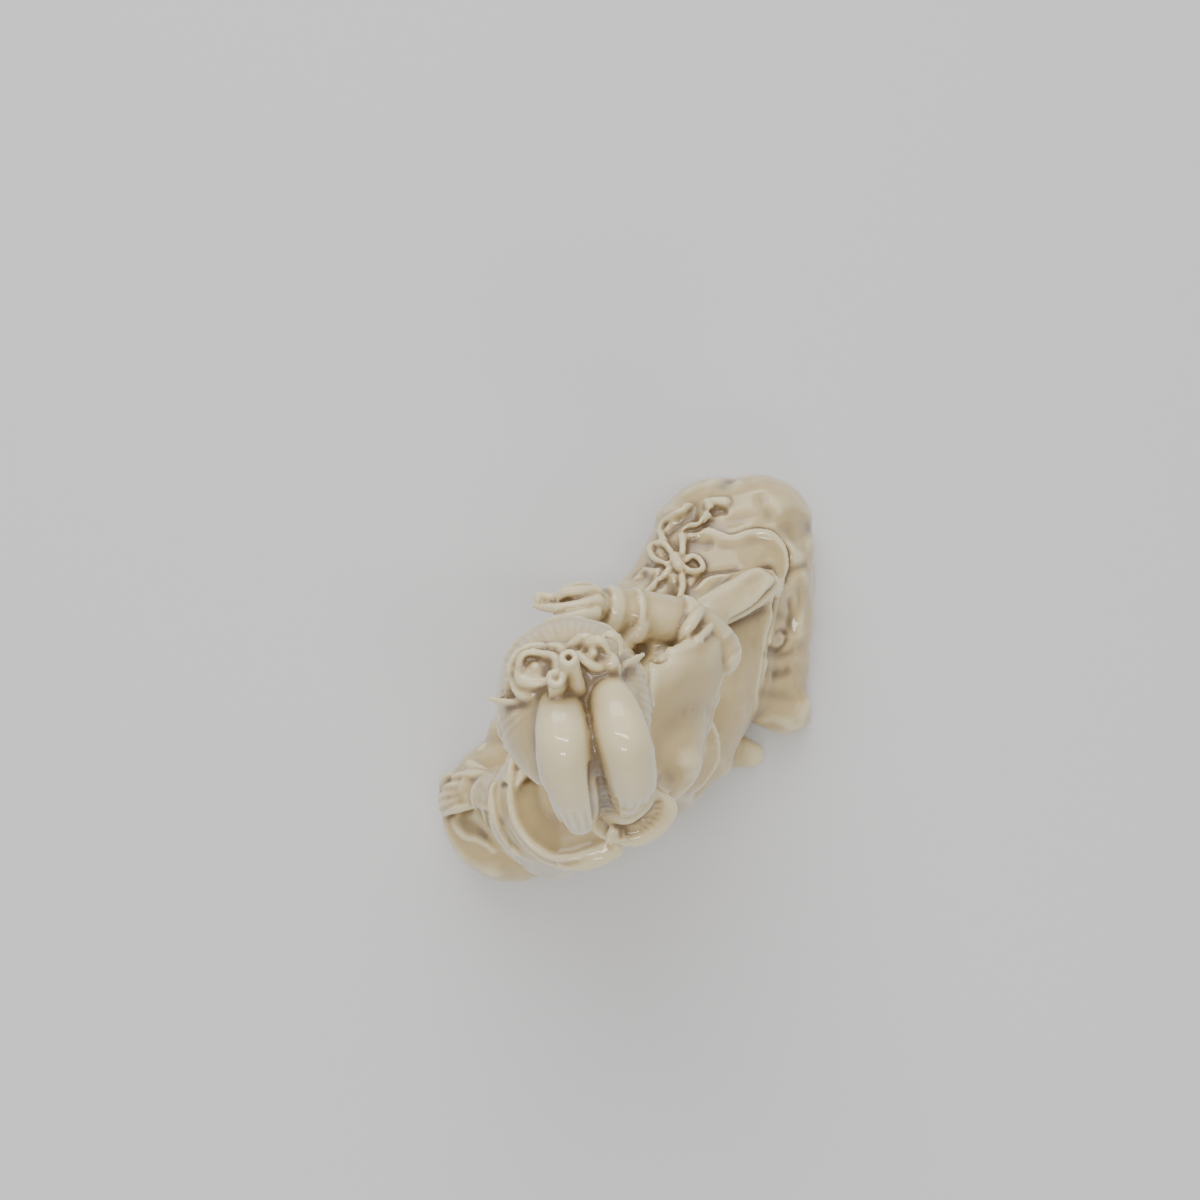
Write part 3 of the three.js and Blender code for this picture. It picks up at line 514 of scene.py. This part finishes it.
face_ground = Ground(base_mesh)


def on_face(x, z, lift=0.0):
    """A place on the skin of the face."""
    start = Vector(on_head(x, -1.2, z))
    spot, normal, _, _ = face_ground.tree.ray_cast(start, Vector(on_head(x, 0.0, z)) - start)
    return tuple(spot + normal * lift)


tube([(*on_face(0, 0.02, -1.0), 1.2), (*on_face(0, -0.06, -0.3), 1.2), (*on_face(0, -0.13, 0.4), 1.4),
      (*on_face(0, -0.185, 0.9), 1.6)])
for side in (-1, 1):
    ball(on_face(side * 0.045, -0.19, 0.0), (1.3, 1.2, 1.0))
    tube([(*on_face(side * 0.115, -0.075, -0.2), 0.8), (*on_face(side * 0.19, -0.055, 0.3), 1.5),
          (*on_face(side * 0.265, -0.065, -0.3), 0.8)])
    tube([(*on_face(side * 0.07, 0.045, -0.5), 0.7), (*on_face(side * 0.18, 0.075, -0.2), 0.85),
          (*on_face(side * 0.29, 0.04, -0.6), 0.6)])
    tube([on_head(side * 0.44, -0.02, 0.0), on_head(side * 0.47, 0.01, 0.04),
          on_head(side * 0.475, 0.06, 0.0),
          on_head(side * 0.465, 0.05, -0.1), on_head(side * 0.45, 0.01, -0.2),
          on_head(side * 0.435, -0.01, -0.28)], 1.5)
tube([(*on_face(-0.105, -0.315, -0.3), 0.5), (*on_face(-0.03, -0.302, 0.35), 0.85),
      (*on_face(0.03, -0.302, 0.35), 0.85),
      (*on_face(0.105, -0.315, -0.3), 0.5)])
tube([(*on_face(-0.085, -0.328, -0.2), 0.5), (*on_face(0, -0.345, 0.1), 1.0),
      (*on_face(0.085, -0.328, -0.2), 0.5)])
ball(on_face(0, -0.435, -1.1), (2.8, 2.0, 1.8))

# Right forearm: a round sleeve with bands, gathered towards the elbow.
R_ELBOW, R_WRIST = np.array((-14.0, 6.0, 85.0)), np.array((11.0, 2.6, 95.4))
ARM = unit(R_WRIST - R_ELBOW)


def band(reach, radius, width, height, slant=0.0):
    """A rounded ring round the forearm."""
    middle = R_ELBOW + (R_WRIST - R_ELBOW) * reach
    side = unit(np.cross(ARM, (0.0, 0.0, 1.0)))
    above = np.cross(side, ARM)
    rings = []
    for step in np.linspace(-1.0, 1.0, 9):
        size = radius + height * math.sqrt(max(0.0, 1.0 - step**4))
        rings.append(ring_of(middle + ARM * (step * width / 2), side + ARM * slant / size, above, size,
                             1.0, 40))
    skin_rings(rings)


tube([(11.5, 2.4, 95.6, 5.6), (4, 3.2, 92.6, 7.0), (-6, 4.6, 88.4, 8.0), (-14, 6.4, 84.4, 8.4),
      (-21, 11, 79, 8.4)],
     sides=48)
band(0.93, 5.9, 4.4, 1.2, 0.5)
band(0.68, 7.2, 1.5, 0.9, 0.7)
band(0.14, 8.2, 4.2, 1.2, -0.8)
held = bpy.data.meshes.new("held")
crisp.to_mesh(held)
sleeve_ground = Ground(held)
bpy.data.meshes.remove(held)
for stops in (((702, 607, 1.1), (696, 617, 1.7), (688, 628, 1.8), (682, 639, 1.1)),
              ((711, 625, 0.9), (705, 632, 1.2), (697, 640, 0.9))):
    tube([(*place, stop[2]) for place,
          stop in zip(sleeve_ground.seen([s[:2] for s in stops], 0.4), stops)])

# Right hand: raised, with the fingers curled round a small bud.
ball((15.6, 3.2, 100.4), (6.2, 4.9, 4.0), (0, -12, 12))
tube([(13.4, 6.0, 104.6, 2.0), (17.6, 7.2, 105.8, 2.05), (22.0, 8.2, 105.8, 1.8),
      (27.0, 9.7, 104.6, 1.4),
      (31.6, 11.0, 103.2, 0.6)])
tube([(12.8, 2.4, 103.4, 2.0), (17.4, 4.2, 105.2, 1.8), (22.8, 4.9, 105.0, 1.6), (27.6, 4.4, 104.0, 1.1),
      (30.0, 4.0, 103.4, 0.6)])
tube([(13.0, -0.6, 101.5, 1.9), (17.6, -0.2, 103.8, 1.75), (21.8, 0.2, 104.2, 1.5),
      (24.0, 2.0, 102.8, 1.3)])
tube([(13.8, -2.0, 99.5, 1.8), (18.6, -2.2, 100.8, 1.6), (22.4, -0.8, 100.6, 1.4),
      (23.6, 1.6, 99.6, 1.2)])
tube([(14.0, 5.6, 97.5, 2.1), (19.0, 6.0, 97.6, 1.9), (23.6, 4.6, 98.8, 1.5)])
ball((26.0, 1.4, 102.6), (2.2, 1.6, 2.0))
tube([(26, 1.0, 103), (28.6, 0.4, 103.8), (29.6, 2.0, 103.6)], 0.8)
ball((28.2, 2.0, 103.2), (1.6, 1.4, 1.2))

# Left hand: flat on the cushion, fingers side by side, with a thin ring at the wrist.
ball((51.2, 47.6, 35.4), (6.4, 4.9, 3.3), (0, 32, -6))
for place, reach in enumerate((0.0, 0.8, 0.6, -0.6)):
    y = 44.4 + 2.45 * place
    tube([(53.0, 44.6 + 2.1 * place, 35.2, 1.75), (57.6, y + 0.1, 31.6, 1.7),
          (61.2 + reach, y + 0.4, 26.6, 1.55),
          (63.4 + reach, y + 0.8, 21.6, 1.3)])
tube([(46.8, 43.4, 40.5, 2.1), (51.8, 41.9, 36.4, 1.9), (57.2, 41.6, 31.0, 1.5),
      (59.2, 41.8, 28.6, 1.2)])
tube(row((501.5, 781, 47), (496, 786, 45), (491.5, 795, 42), (489.6, 806, 38.5), (490.6, 816, 35)), 1.05)

# Waist cord: two ends come from under the sleeve to a bow with open loops, and two tails.
CORD = 1.1
cord_ends = [
    [(638, 603), (645, 595), (652, 588), (659, 580.5), (665, 575), (674, 567)],
    [(680.4, 605), (681, 597), (682, 586), (681.6, 579), (681, 571)],
    [(674.8, 557.6), (669, 551), (665, 544.6), (661.6, 535), (662.5, 527), (667, 521), (675, 515.3),
     (685.6, 509)],
    [(681, 559), (682.2, 550), (682.4, 542.4), (683.5, 533), (691, 527.5), (700, 525), (703.5, 518),
     (708, 512.5),
     (706.5, 503)],
]
LAP_TOP = 66.0
for pixels in cord_ends:
    laid = ground.seen(spline([(x, y, 0.0) for x, y in pixels], 3.0)[:, :2], CORD * 0.62)
    tube([place for place in laid if place[2] < LAP_TOP], CORD)
for pixels in ([(674.8, 566.5), (665, 566.5), (656.8, 560.5), (652.8, 552.5), (655.6, 546.4),
                (662.6, 546),
                (669.6, 551.6), (676, 560.8)],
               [(681.3, 567.5), (691, 571.8), (699.5, 572.6), (703, 567.6), (699, 560.6), (692.2, 558),
                (685.6, 561.2),
                (681.2, 565)]):
    tube(ground.seen(pixels, CORD * 1.25), CORD * 0.92)
tube(ground.seen([(678.4, 559.5), (678.4, 571.5)], 2.2), 1.75)
for px, py, size in ((686, 508.5, 1.3), (690, 506.5, 0.9), (706.5, 503, 1.4), (706.8, 515.5, 1.6),
                     (702.5, 519.5, 1.3),
                     (709.5, 508.5, 1.2), (683, 511, 1.2)):
    ball(ground.seen([(px, py)], 0.9)[0], (size, size, size))

# Toe of a shoe under the hem, a roll over a dark slot.
tube(ground.seen([(709, 503.5), (716, 502.5), (725, 502.5)], 0.2), 1.9)

added = bpy.data.meshes.new("crisp")
bmesh.ops.recalc_face_normals(crisp, faces=crisp.faces)
crisp.to_mesh(added)
crisp.free()
whole = bmesh.new()
whole.from_mesh(base_mesh)
whole.from_mesh(added)
whole.to_mesh(base_mesh)
whole.free()
bpy.data.meshes.remove(added)

# One skin.
skin = with_modifier(base_mesh, "REMESH", mode="VOXEL", voxel_size=SKIN_VOXEL)
move_points(skin, Neighbours(skin).smooth(points_of(skin), SKIN_ROUNDS, VOLUME_BACK))
ground = Ground(skin)
joints = [((668, 777), 5.0), ((671, 723), 6.5), ((695, 711), 6.0), ((680, 732), 6.5), ((656, 732), 6.0),
          ((664, 752), 6.0),
          ((470, 828), 4.0), ((506, 834), 3.5), ((757, 499), 5.0), ((766, 515), 4.0), ((793, 523), 6.0),
          ((533, 862), 4.5), ((545, 868), 5.0), ((560, 872), 5.0)]
relax_near(skin, [(*ground.seen([pixel])[0], reach) for pixel, reach in joints], 70)
ground = Ground(skin)


STROKE_STEP = 0.8
STROKE_HIGH = 3.0
STROKE_END = 1.2


class Carver:
    """Presses strokes into the skin: each one moves the vertices near a route along their normals."""

    def __init__(self, mesh):
        self.mesh = mesh
        self.refresh()

    def refresh(self):
        self.points, self.normals = points_of(self.mesh), normals_of(self.mesh)

    def settle(self):
        move_points(self.mesh, Neighbours(self.mesh).smooth(self.points, 1, VOLUME_BACK))
        self.refresh()

    def stroke(self, route, depth_at, reach, fade=0.25):
        if len(route) < 2:
            return
        line = spline(route, STROKE_STEP)
        normals = np.array([ground.tree.find_nearest(Vector(p))[1] for p in line])
        for _ in range(2):
            normals[1:-1] = unit(normals[1:-1] + normals[:-2] + normals[2:])
        tangents = unit(np.gradient(line, axis=0))
        sides = unit(np.cross(tangents, normals))
        inside = np.all((self.points > line.min(0) - reach) & (self.points < line.max(0) + reach),
                        axis=1)
        near = np.flatnonzero(inside)
        gaps = self.points[near, None, :] - line[None, :, :]
        nearest = np.einsum("ijk,ijk->ij", gaps, gaps).argmin(1)
        gap = gaps[np.arange(len(near)), nearest]
        across = np.einsum("ij,ij->i", gap, sides[nearest])
        along = np.einsum("ij,ij->i", gap, tangents[nearest])
        high = np.einsum("ij,ij->i", gap, normals[nearest])
        facing = np.einsum("ij,ij->i", self.normals[near], normals[nearest]) > 0.15
        place = np.clip((nearest + along / STROKE_STEP) / (len(line) - 1), 0.0, 1.0)
        ease = np.clip(np.minimum(place, 1.0 - place) / fade, 0.0, 1.0) if fade else 1.0
        ends = np.exp(-np.square(np.where((nearest == 0) | (nearest == len(line) - 1), along,
                                          0.0) / STROKE_END))
        keep = facing & (np.abs(high) < STROKE_HIGH) & (np.abs(across) < reach)
        amount = depth_at(across) * np.sqrt(ease) * ends * keep
        self.points[near] += self.normals[near] * amount[:, None]

    def ridge(self, route, height, width, fade=0.25):
        self.stroke(route, lambda s: height * np.exp(-np.square(s / width)), 3 * width, fade)

    def groove(self, route, depth, width, fade=0.25):
        self.ridge(route, -depth, width, fade)

    def edge(self, route, rise, drop, wide_rise=3.0, wide_drop=1.8, fade=0.2):
        """The edge of an upper layer of cloth, which lies to the right along the route."""
        def depth_at(s):
            upper = rise * np.exp(-np.square(s / wide_rise))
            lower = -drop * np.exp(-np.square(s / wide_drop))
            share = np.clip(s / 0.7 + 0.5, 0.0, 1.0)
            return upper * share + lower * (1.0 - share)
        self.stroke(route, depth_at, 3 * max(wide_rise, wide_drop), fade)


carver = Carver(skin)

# Lap: the overskirt's wavy hem, the sash in two rolls, folds beside the bow, and the robe's right edge.
hem = ground.seen([(676, 536), (683.5, 532.6), (695.4, 532.6), (708.4, 527.6), (721.4, 531.6),
                   (732.3, 534.4),
                   (747.4, 529.8), (760.5, 528.3), (773.5, 531.6), (783.2, 541.3), (788.2, 555.4),
                   (787.8, 572.7),
                   (783.2, 585.8), (780.4, 592.3)])
carver.edge(hem, 0.7, 1.1, 3.2, 2.2)
carver.edge(ground.seen([(685.6, 602), (693.2, 590.1), (704.1, 578.8), (714.9, 574.9), (727.9, 573.4),
                         (740.9, 570.6)]),
            0.6, 0.8, 3.0, 1.6)
carver.edge(ground.seen([(686.3, 604.8), (697.6, 598.8), (712.7, 592.3), (730.1, 581.9), (743.1, 573.8),
                         (756.1, 569.5), (771.3, 571), (778.9, 581.4), (782.1, 594.4)]), 0.9, 1.5, 3.5,
                         1.8)
carver.edge(ground.seen([(775, 579), (767, 590.1), (756.1, 602), (738.8, 613.5), (727.9, 619.4),
                         (715, 625)]),
            0.6, 0.8, 3.0, 2.2)
carver.edge(ground.seen([(774, 597), (772, 612), (768.5, 633.5), (764, 650.8), (760, 672.5),
                         (756.5, 694.2),
                         (753.5, 715.9), (749.6, 735.4)]), 0.8, 1.6, 4.0, 2.2)
for pixels, depth, width in (
        ([(785.4, 583), (790.8, 573.5), (798.4, 568), (808.2, 564.1)], 1.0, 2.0),
        ([(789, 596), (791.5, 611), (789, 626), (786, 636)], 0.9, 2.0),
        ([(798, 585), (799.5, 603), (795, 622), (792, 636)], 0.5, 1.8),
        ([(770, 618), (767.5, 633), (769, 645), (776, 650), (784, 646), (787, 637), (782, 630.5),
          (775, 634)], 0.7, 1.2),
        ([(758, 652.5), (773.5, 654.5), (786.5, 654), (795, 651)], 0.7, 2.0),
        ([(757, 672), (771.3, 675.5), (784.3, 673), (791.2, 667)], 0.6, 2.2),
        ([(758, 696), (773.5, 695), (786.5, 697), (796.2, 705)], 0.45, 2.6),
        ([(721.4, 481.7), (738.8, 478.4), (751.8, 480.6)], 0.4, 2.2),
        ([(759.4, 492), (764.8, 507), (771.3, 522.9)], 0.7, 3.0),
        ([(786, 520), (791.9, 540), (795.1, 558)], 0.35, 2.6),
        ([(707, 511), (718, 512.5), (729, 511.5)], 1.1, 1.2),
        ([(628.2, 581.4), (636.9, 573.5), (646.6, 573.5), (654, 578)], 0.5, 1.8),
        ([(730.1, 633.5), (738.8, 655.1), (740.9, 676.8), (738.8, 698.5)], 0.6, 5.0),
        ([(689, 540), (700, 545), (715, 545)], 0.5, 2.2),
        ([(641, 656), (648, 660), (657, 660.5), (668, 657.5)], 0.9, 1.1),
        ([(596.5, 816), (594.5, 800), (592, 780), (589.5, 760)], 0.9, 1.2),
        ([(615.5, 633), (630, 640), (643, 650)], 0.5, 1.2)):
    carver.groove(ground.seen(pixels), depth, width)
for pixels, height, width in (
        ([(665, 514.2), (682.4, 496), (704.1, 485), (725.8, 481.5)], 0.45, 2.4),
        ([(755, 722.4), (769.1, 718), (784.3, 721.3), (796.2, 728.9)], 0.6, 2.6),
        ([(808.2, 698.5), (803, 715.9), (797, 731)], 0.4, 2.2),
        ([(632.5, 592.3), (637, 580), (641.2, 569.5)], 0.7, 1.8),
        ([(658, 652.5), (671.6, 650), (686.7, 645.5), (704, 639.5)], 0.7, 1.3),
        ([(452.3, 817), (455.5, 826.3), (464.4, 835.8), (477.2, 839.7), (487.4, 845.4), (496.3, 853.1)],
         0.7, 1.3),
        ([(472, 766), (479, 752), (486, 743)], 0.6, 1.6)):
    carver.ridge(ground.seen(pixels), height, width)
carver.edge(ground.seen([(656.4, 578), (660.7, 568.6), (652, 568), (643.4, 566.2), (634, 562)][::-1]),
            0.7, 0.7, 2.4, 1.4)
carver.groove(ground.seen([(458, 815.5), (467, 822.4), (478.5, 828.8), (488.7, 837.8)]), 0.4, 2.4)
carver.groove(ground.seen([(501.4, 814.8), (503.3, 830.1), (509.1, 846.7), (519.3, 860.7),
                           (532, 868.5)]), 0.5, 1.3)
carver.edge(ground.seen([(509.1, 783.5), (501.4, 781.6), (487.4, 776.5), (472.1, 774.6)]), 0.6, 0.8, 2.6,
            1.4)
carver.settle()

# Face lines: the closed lids and the parting of the lips.
for side in (-1, 1):
    carver.groove(ground.lay([on_face(side * 0.105, -0.085, 1.0), on_face(side * 0.19, -0.108, 1.0),
                              on_face(side * 0.275, -0.08, 1.0)]), 0.5, 0.45, 0.15)
carver.groove(ground.lay([on_face(-0.1, -0.318, 1.0), on_face(0, -0.324, 1.5),
                          on_face(0.1, -0.318, 1.0)]), 0.5, 0.4, 0.15)

# Hair lines: combed from the crown of the head down, along the loops, and out over the fan. None
# run under the loops at the back, and those over the brow stop short of the face.
CROWN = np.array((18.5, 37.0))
HAIR_LINES = 56
UNDER_LOOPS, OVER_BROW = 0.55, -0.75
random.seed(7)
for step in range(HAIR_LINES):
    angle = 2.0 * math.pi * (step + 0.5) / HAIR_LINES
    direction = np.array((math.sin(angle), -math.cos(angle)))
    if direction[1] > UNDER_LOOPS:
        continue
    stops = []
    for reach, height in ((9.5, 155.0), (13.5, 151.0), (17.0, 144.0), (19.0, 135.0)):
        x, y = CROWN + direction * reach * np.array((1.0, 1.1))
        stops.append((x, y, height))
    route = ground.lay(stops[:3] if direction[1] < OVER_BROW else stops)
    carver.groove(route, 0.10 + 0.12 * random.random(), 0.5, 0.3)
for loop in hair_loops:
    line = np.array(loop)
    for share in (-0.8, -0.45, -0.1, 0.25, 0.6):
        lower = [(x + share * r, y + r * math.sqrt(1 - share**2) * 0.9, z + 1.0) for x, y, z,
                 r in line[4:]]
        carver.groove(ground.lay(lower), 0.3, 0.7, 0.45)
fan_heart = np.array(at(612, 806, 114))
fan_edge = spline(fan_rim, count=101)
for share in np.linspace(0.06, 0.78, 11):
    rim_place = fan_edge[int(share * 100)]
    inner_place = fan_heart + (rim_place - fan_heart) * 0.3
    middle = inner_place * 0.5 + rim_place * 0.5 + (0, 0, 0.5)
    outer_place = rim_place * 0.93 + inner_place * 0.07
    carver.groove(ground.lay([inner_place, middle, outer_place]), 0.5, 0.6, 0.2)
carver.settle()

# Hollows, where the glaze pools and painted shade darkens them, and rims, where the glaze runs thin and
# a painted highlight pales them, as one value from 0 to 1.
skin_net = Neighbours(skin)
points, outward = points_of(skin), normals_of(skin)
glaze_pool_and_shade = np.zeros(len(points))
for rounds, weight in ((4, 2.2), (30, 0.75), (150, 0.10)):
    evened = skin_net.smooth(points, rounds)
    glaze_pool_and_shade += weight * np.einsum("ij,ij->i", evened - points, outward)
glaze_pool_and_shade = skin_net.smooth(glaze_pool_and_shade[:, None], 1)[:, 0]
# Extra darkening is also added round the hair ornament, on the sides of the hair, on the cushion and
# between the loops: partly brown glaze left standing there, partly painted shade where less light falls.
for x, y, z, reach, amount in ((26.5, 32, 155, 6.5, 0.17), (12, 29.5, 157, 6.5, 0.17),
                               (18, 38, 155, 7, 0.17),
                               (33, 46, 148, 9, 0.08), (12, 57, 132, 7, 0.14), (17, 60, 128, 7, 0.07),
                               (54, 50, 26, 15, 0.06), (-52, -2, 22, 14, 0.05), (-58, 14, 8, 14, 0.05)):
    glaze_pool_and_shade += amount * np.exp(-np.square(np.linalg.norm(points - (x, y, z), axis=1) / reach))

attribute = skin.attributes.new("glaze_pool_and_shade", "FLOAT", "POINT")
attribute.data.foreach_set("value", np.clip(0.5 + glaze_pool_and_shade, 0.0, 1.0).astype(np.float32))
skin.transform(Matrix.Scale(1.0 / PER_METRE, 4) @ Matrix.Translation(-Vector(ORIGIN)))
skin = with_modifier(skin, "DECIMATE", ratio=min(1.0, SKIN_TRIANGLES / (2.0 * len(skin.polygons))))
skin.name = "glazed_figurine"
skin.polygons.foreach_set("use_smooth", [True] * len(skin.polygons))
figurine = object_of("glazed_figurine", skin)


class Value:
    """A socket of the material's node tree, with arithmetic."""

    def __init__(self, socket):
        self.socket = socket

    def maths(self, operation, other=None, swap=False):
        made = tree.nodes.new("ShaderNodeMath")
        made.operation = operation
        sides = (other, self) if swap else (self, other)
        for place, side in enumerate(sides):
            if isinstance(side, Value):
                tree.links.new(side.socket, made.inputs[place])
            elif side is not None:
                made.inputs[place].default_value = side
        return Value(made.outputs[0])

    def __add__(self, other):
        return self.maths("ADD", other)

    def __sub__(self, other):
        return self.maths("SUBTRACT", other)

    def __rsub__(self, other):
        return self.maths("SUBTRACT", other, True)

    def __mul__(self, other):
        return self.maths("MULTIPLY", other)

    def __gt__(self, other):
        return self.maths("GREATER_THAN", other)

    def clipped(self):
        result = self.maths("ADD", 0.0)
        result.socket.node.use_clamp = True
        return result

    __radd__, __rmul__ = __add__, __mul__


def node(kind, output, inputs=(), **settings):
    """The output of a new node. Inputs are set or linked by name."""
    made = tree.nodes.new("ShaderNode" + kind)
    for key, value in settings.items():
        setattr(made, key, value)
    for key, value in dict(inputs).items():
        if isinstance(value, Value):
            tree.links.new(value.socket, made.inputs[key])
        else:
            made.inputs[key].default_value = value
    return Value(made.outputs[output])


# Porcelain: ivory white under a clear glaze that is warmer and browner where it pools in hollows,
# with painted shade darkening the same hollows; paler on rims, as thin glaze and as a painted highlight;
# with a faint unevenness and a few dark specks.
IVORY = (0.60, 0.462, 0.23, 1.0)
# Rim colour: thin glaze and a painted highlight along the edges.
RIM_WHITE_AND_HIGHLIGHT = (0.82, 0.71, 0.44, 1.0)
# Hollow colours: pooled glaze, darkened further as painted shade.
POOLED_GLAZE_AND_SHADE = (0.34, 0.25, 0.135, 1.0)
DEEP_POOL_AND_SHADE = (0.13, 0.075, 0.03, 1.0)
SPECK = (0.10, 0.075, 0.05, 1.0)
porcelain = bpy.data.materials.new("porcelain")
porcelain.use_nodes = True
tree = porcelain.node_tree
shader = tree.nodes["Principled BSDF"]
coords = node("TexCoord", "Object")
pool_and_shade_factor = node("Attribute", "Fac", attribute_name="glaze_pool_and_shade")
cloudy = node("TexNoise", "Fac", {"Vector": coords, "Scale": 55.0, "Detail": 4.0, "Roughness": 0.6})
fine = node("TexNoise", "Fac", {"Vector": coords, "Scale": 520.0, "Detail": 3.0})
grains = node("TexVoronoi", "Distance", {"Vector": coords, "Scale": 420.0})
speckled = node("TexNoise", "Fac", {"Vector": coords, "Scale": 35.0, "Detail": 2.0})


def colour_mix(share, first, second):
    made = tree.nodes.new("ShaderNodeMix")
    made.data_type = "RGBA"
    tree.links.new(share.socket, made.inputs["Factor"])
    for place, colour in ((6, first), (7, second)):
        if isinstance(colour, Value):
            tree.links.new(colour.socket, made.inputs[place])
        else:
            made.inputs[place].default_value = colour
    return Value(made.outputs[2])


depth = pool_and_shade_factor + (cloudy - 0.5) * 0.16
# Paler on rims: partly thin glaze, partly a painted highlight.
colour = colour_mix(((0.43 - depth) * 3.2).clipped(), IVORY, RIM_WHITE_AND_HIGHLIGHT)
# Browner, then dark brown, in hollows: partly pooled glaze, partly painted shade.
colour = colour_mix(((depth - 0.50) * 3.6).clipped(), colour, POOLED_GLAZE_AND_SHADE)
colour = colour_mix(((depth - 0.80) * 3.2).clipped(), colour, DEEP_POOL_AND_SHADE)
specks = ((0.13 - grains) * 12.0).clipped() * (speckled > 0.63) * ((depth - 0.46) * 6.0).clipped()
colour = colour_mix(specks, colour, SPECK)
tree.links.new(colour.socket, shader.inputs["Base Color"])
roughness = 0.06 + (cloudy * 0.07) + (fine * 0.04) + ((pool_and_shade_factor - 0.55) * 0.35).clipped()
tree.links.new(roughness.socket, shader.inputs["Roughness"])
bump = node("Bump", "Normal", {"Height": cloudy * 0.5 + fine * 0.06, "Strength": 0.12,
                               "Distance": 0.0012})
tree.links.new(bump.socket, shader.inputs["Normal"])
shader.inputs["Coat Weight"].default_value = 0.35
shader.inputs["Coat Roughness"].default_value = 0.05
shader.inputs["Subsurface Weight"].default_value = 0.12
shader.inputs["Subsurface Radius"].default_value = (0.0016, 0.0012, 0.0007)
skin.materials.clear()
skin.materials.append(porcelain)
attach(figurine, "root")
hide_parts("figurine")
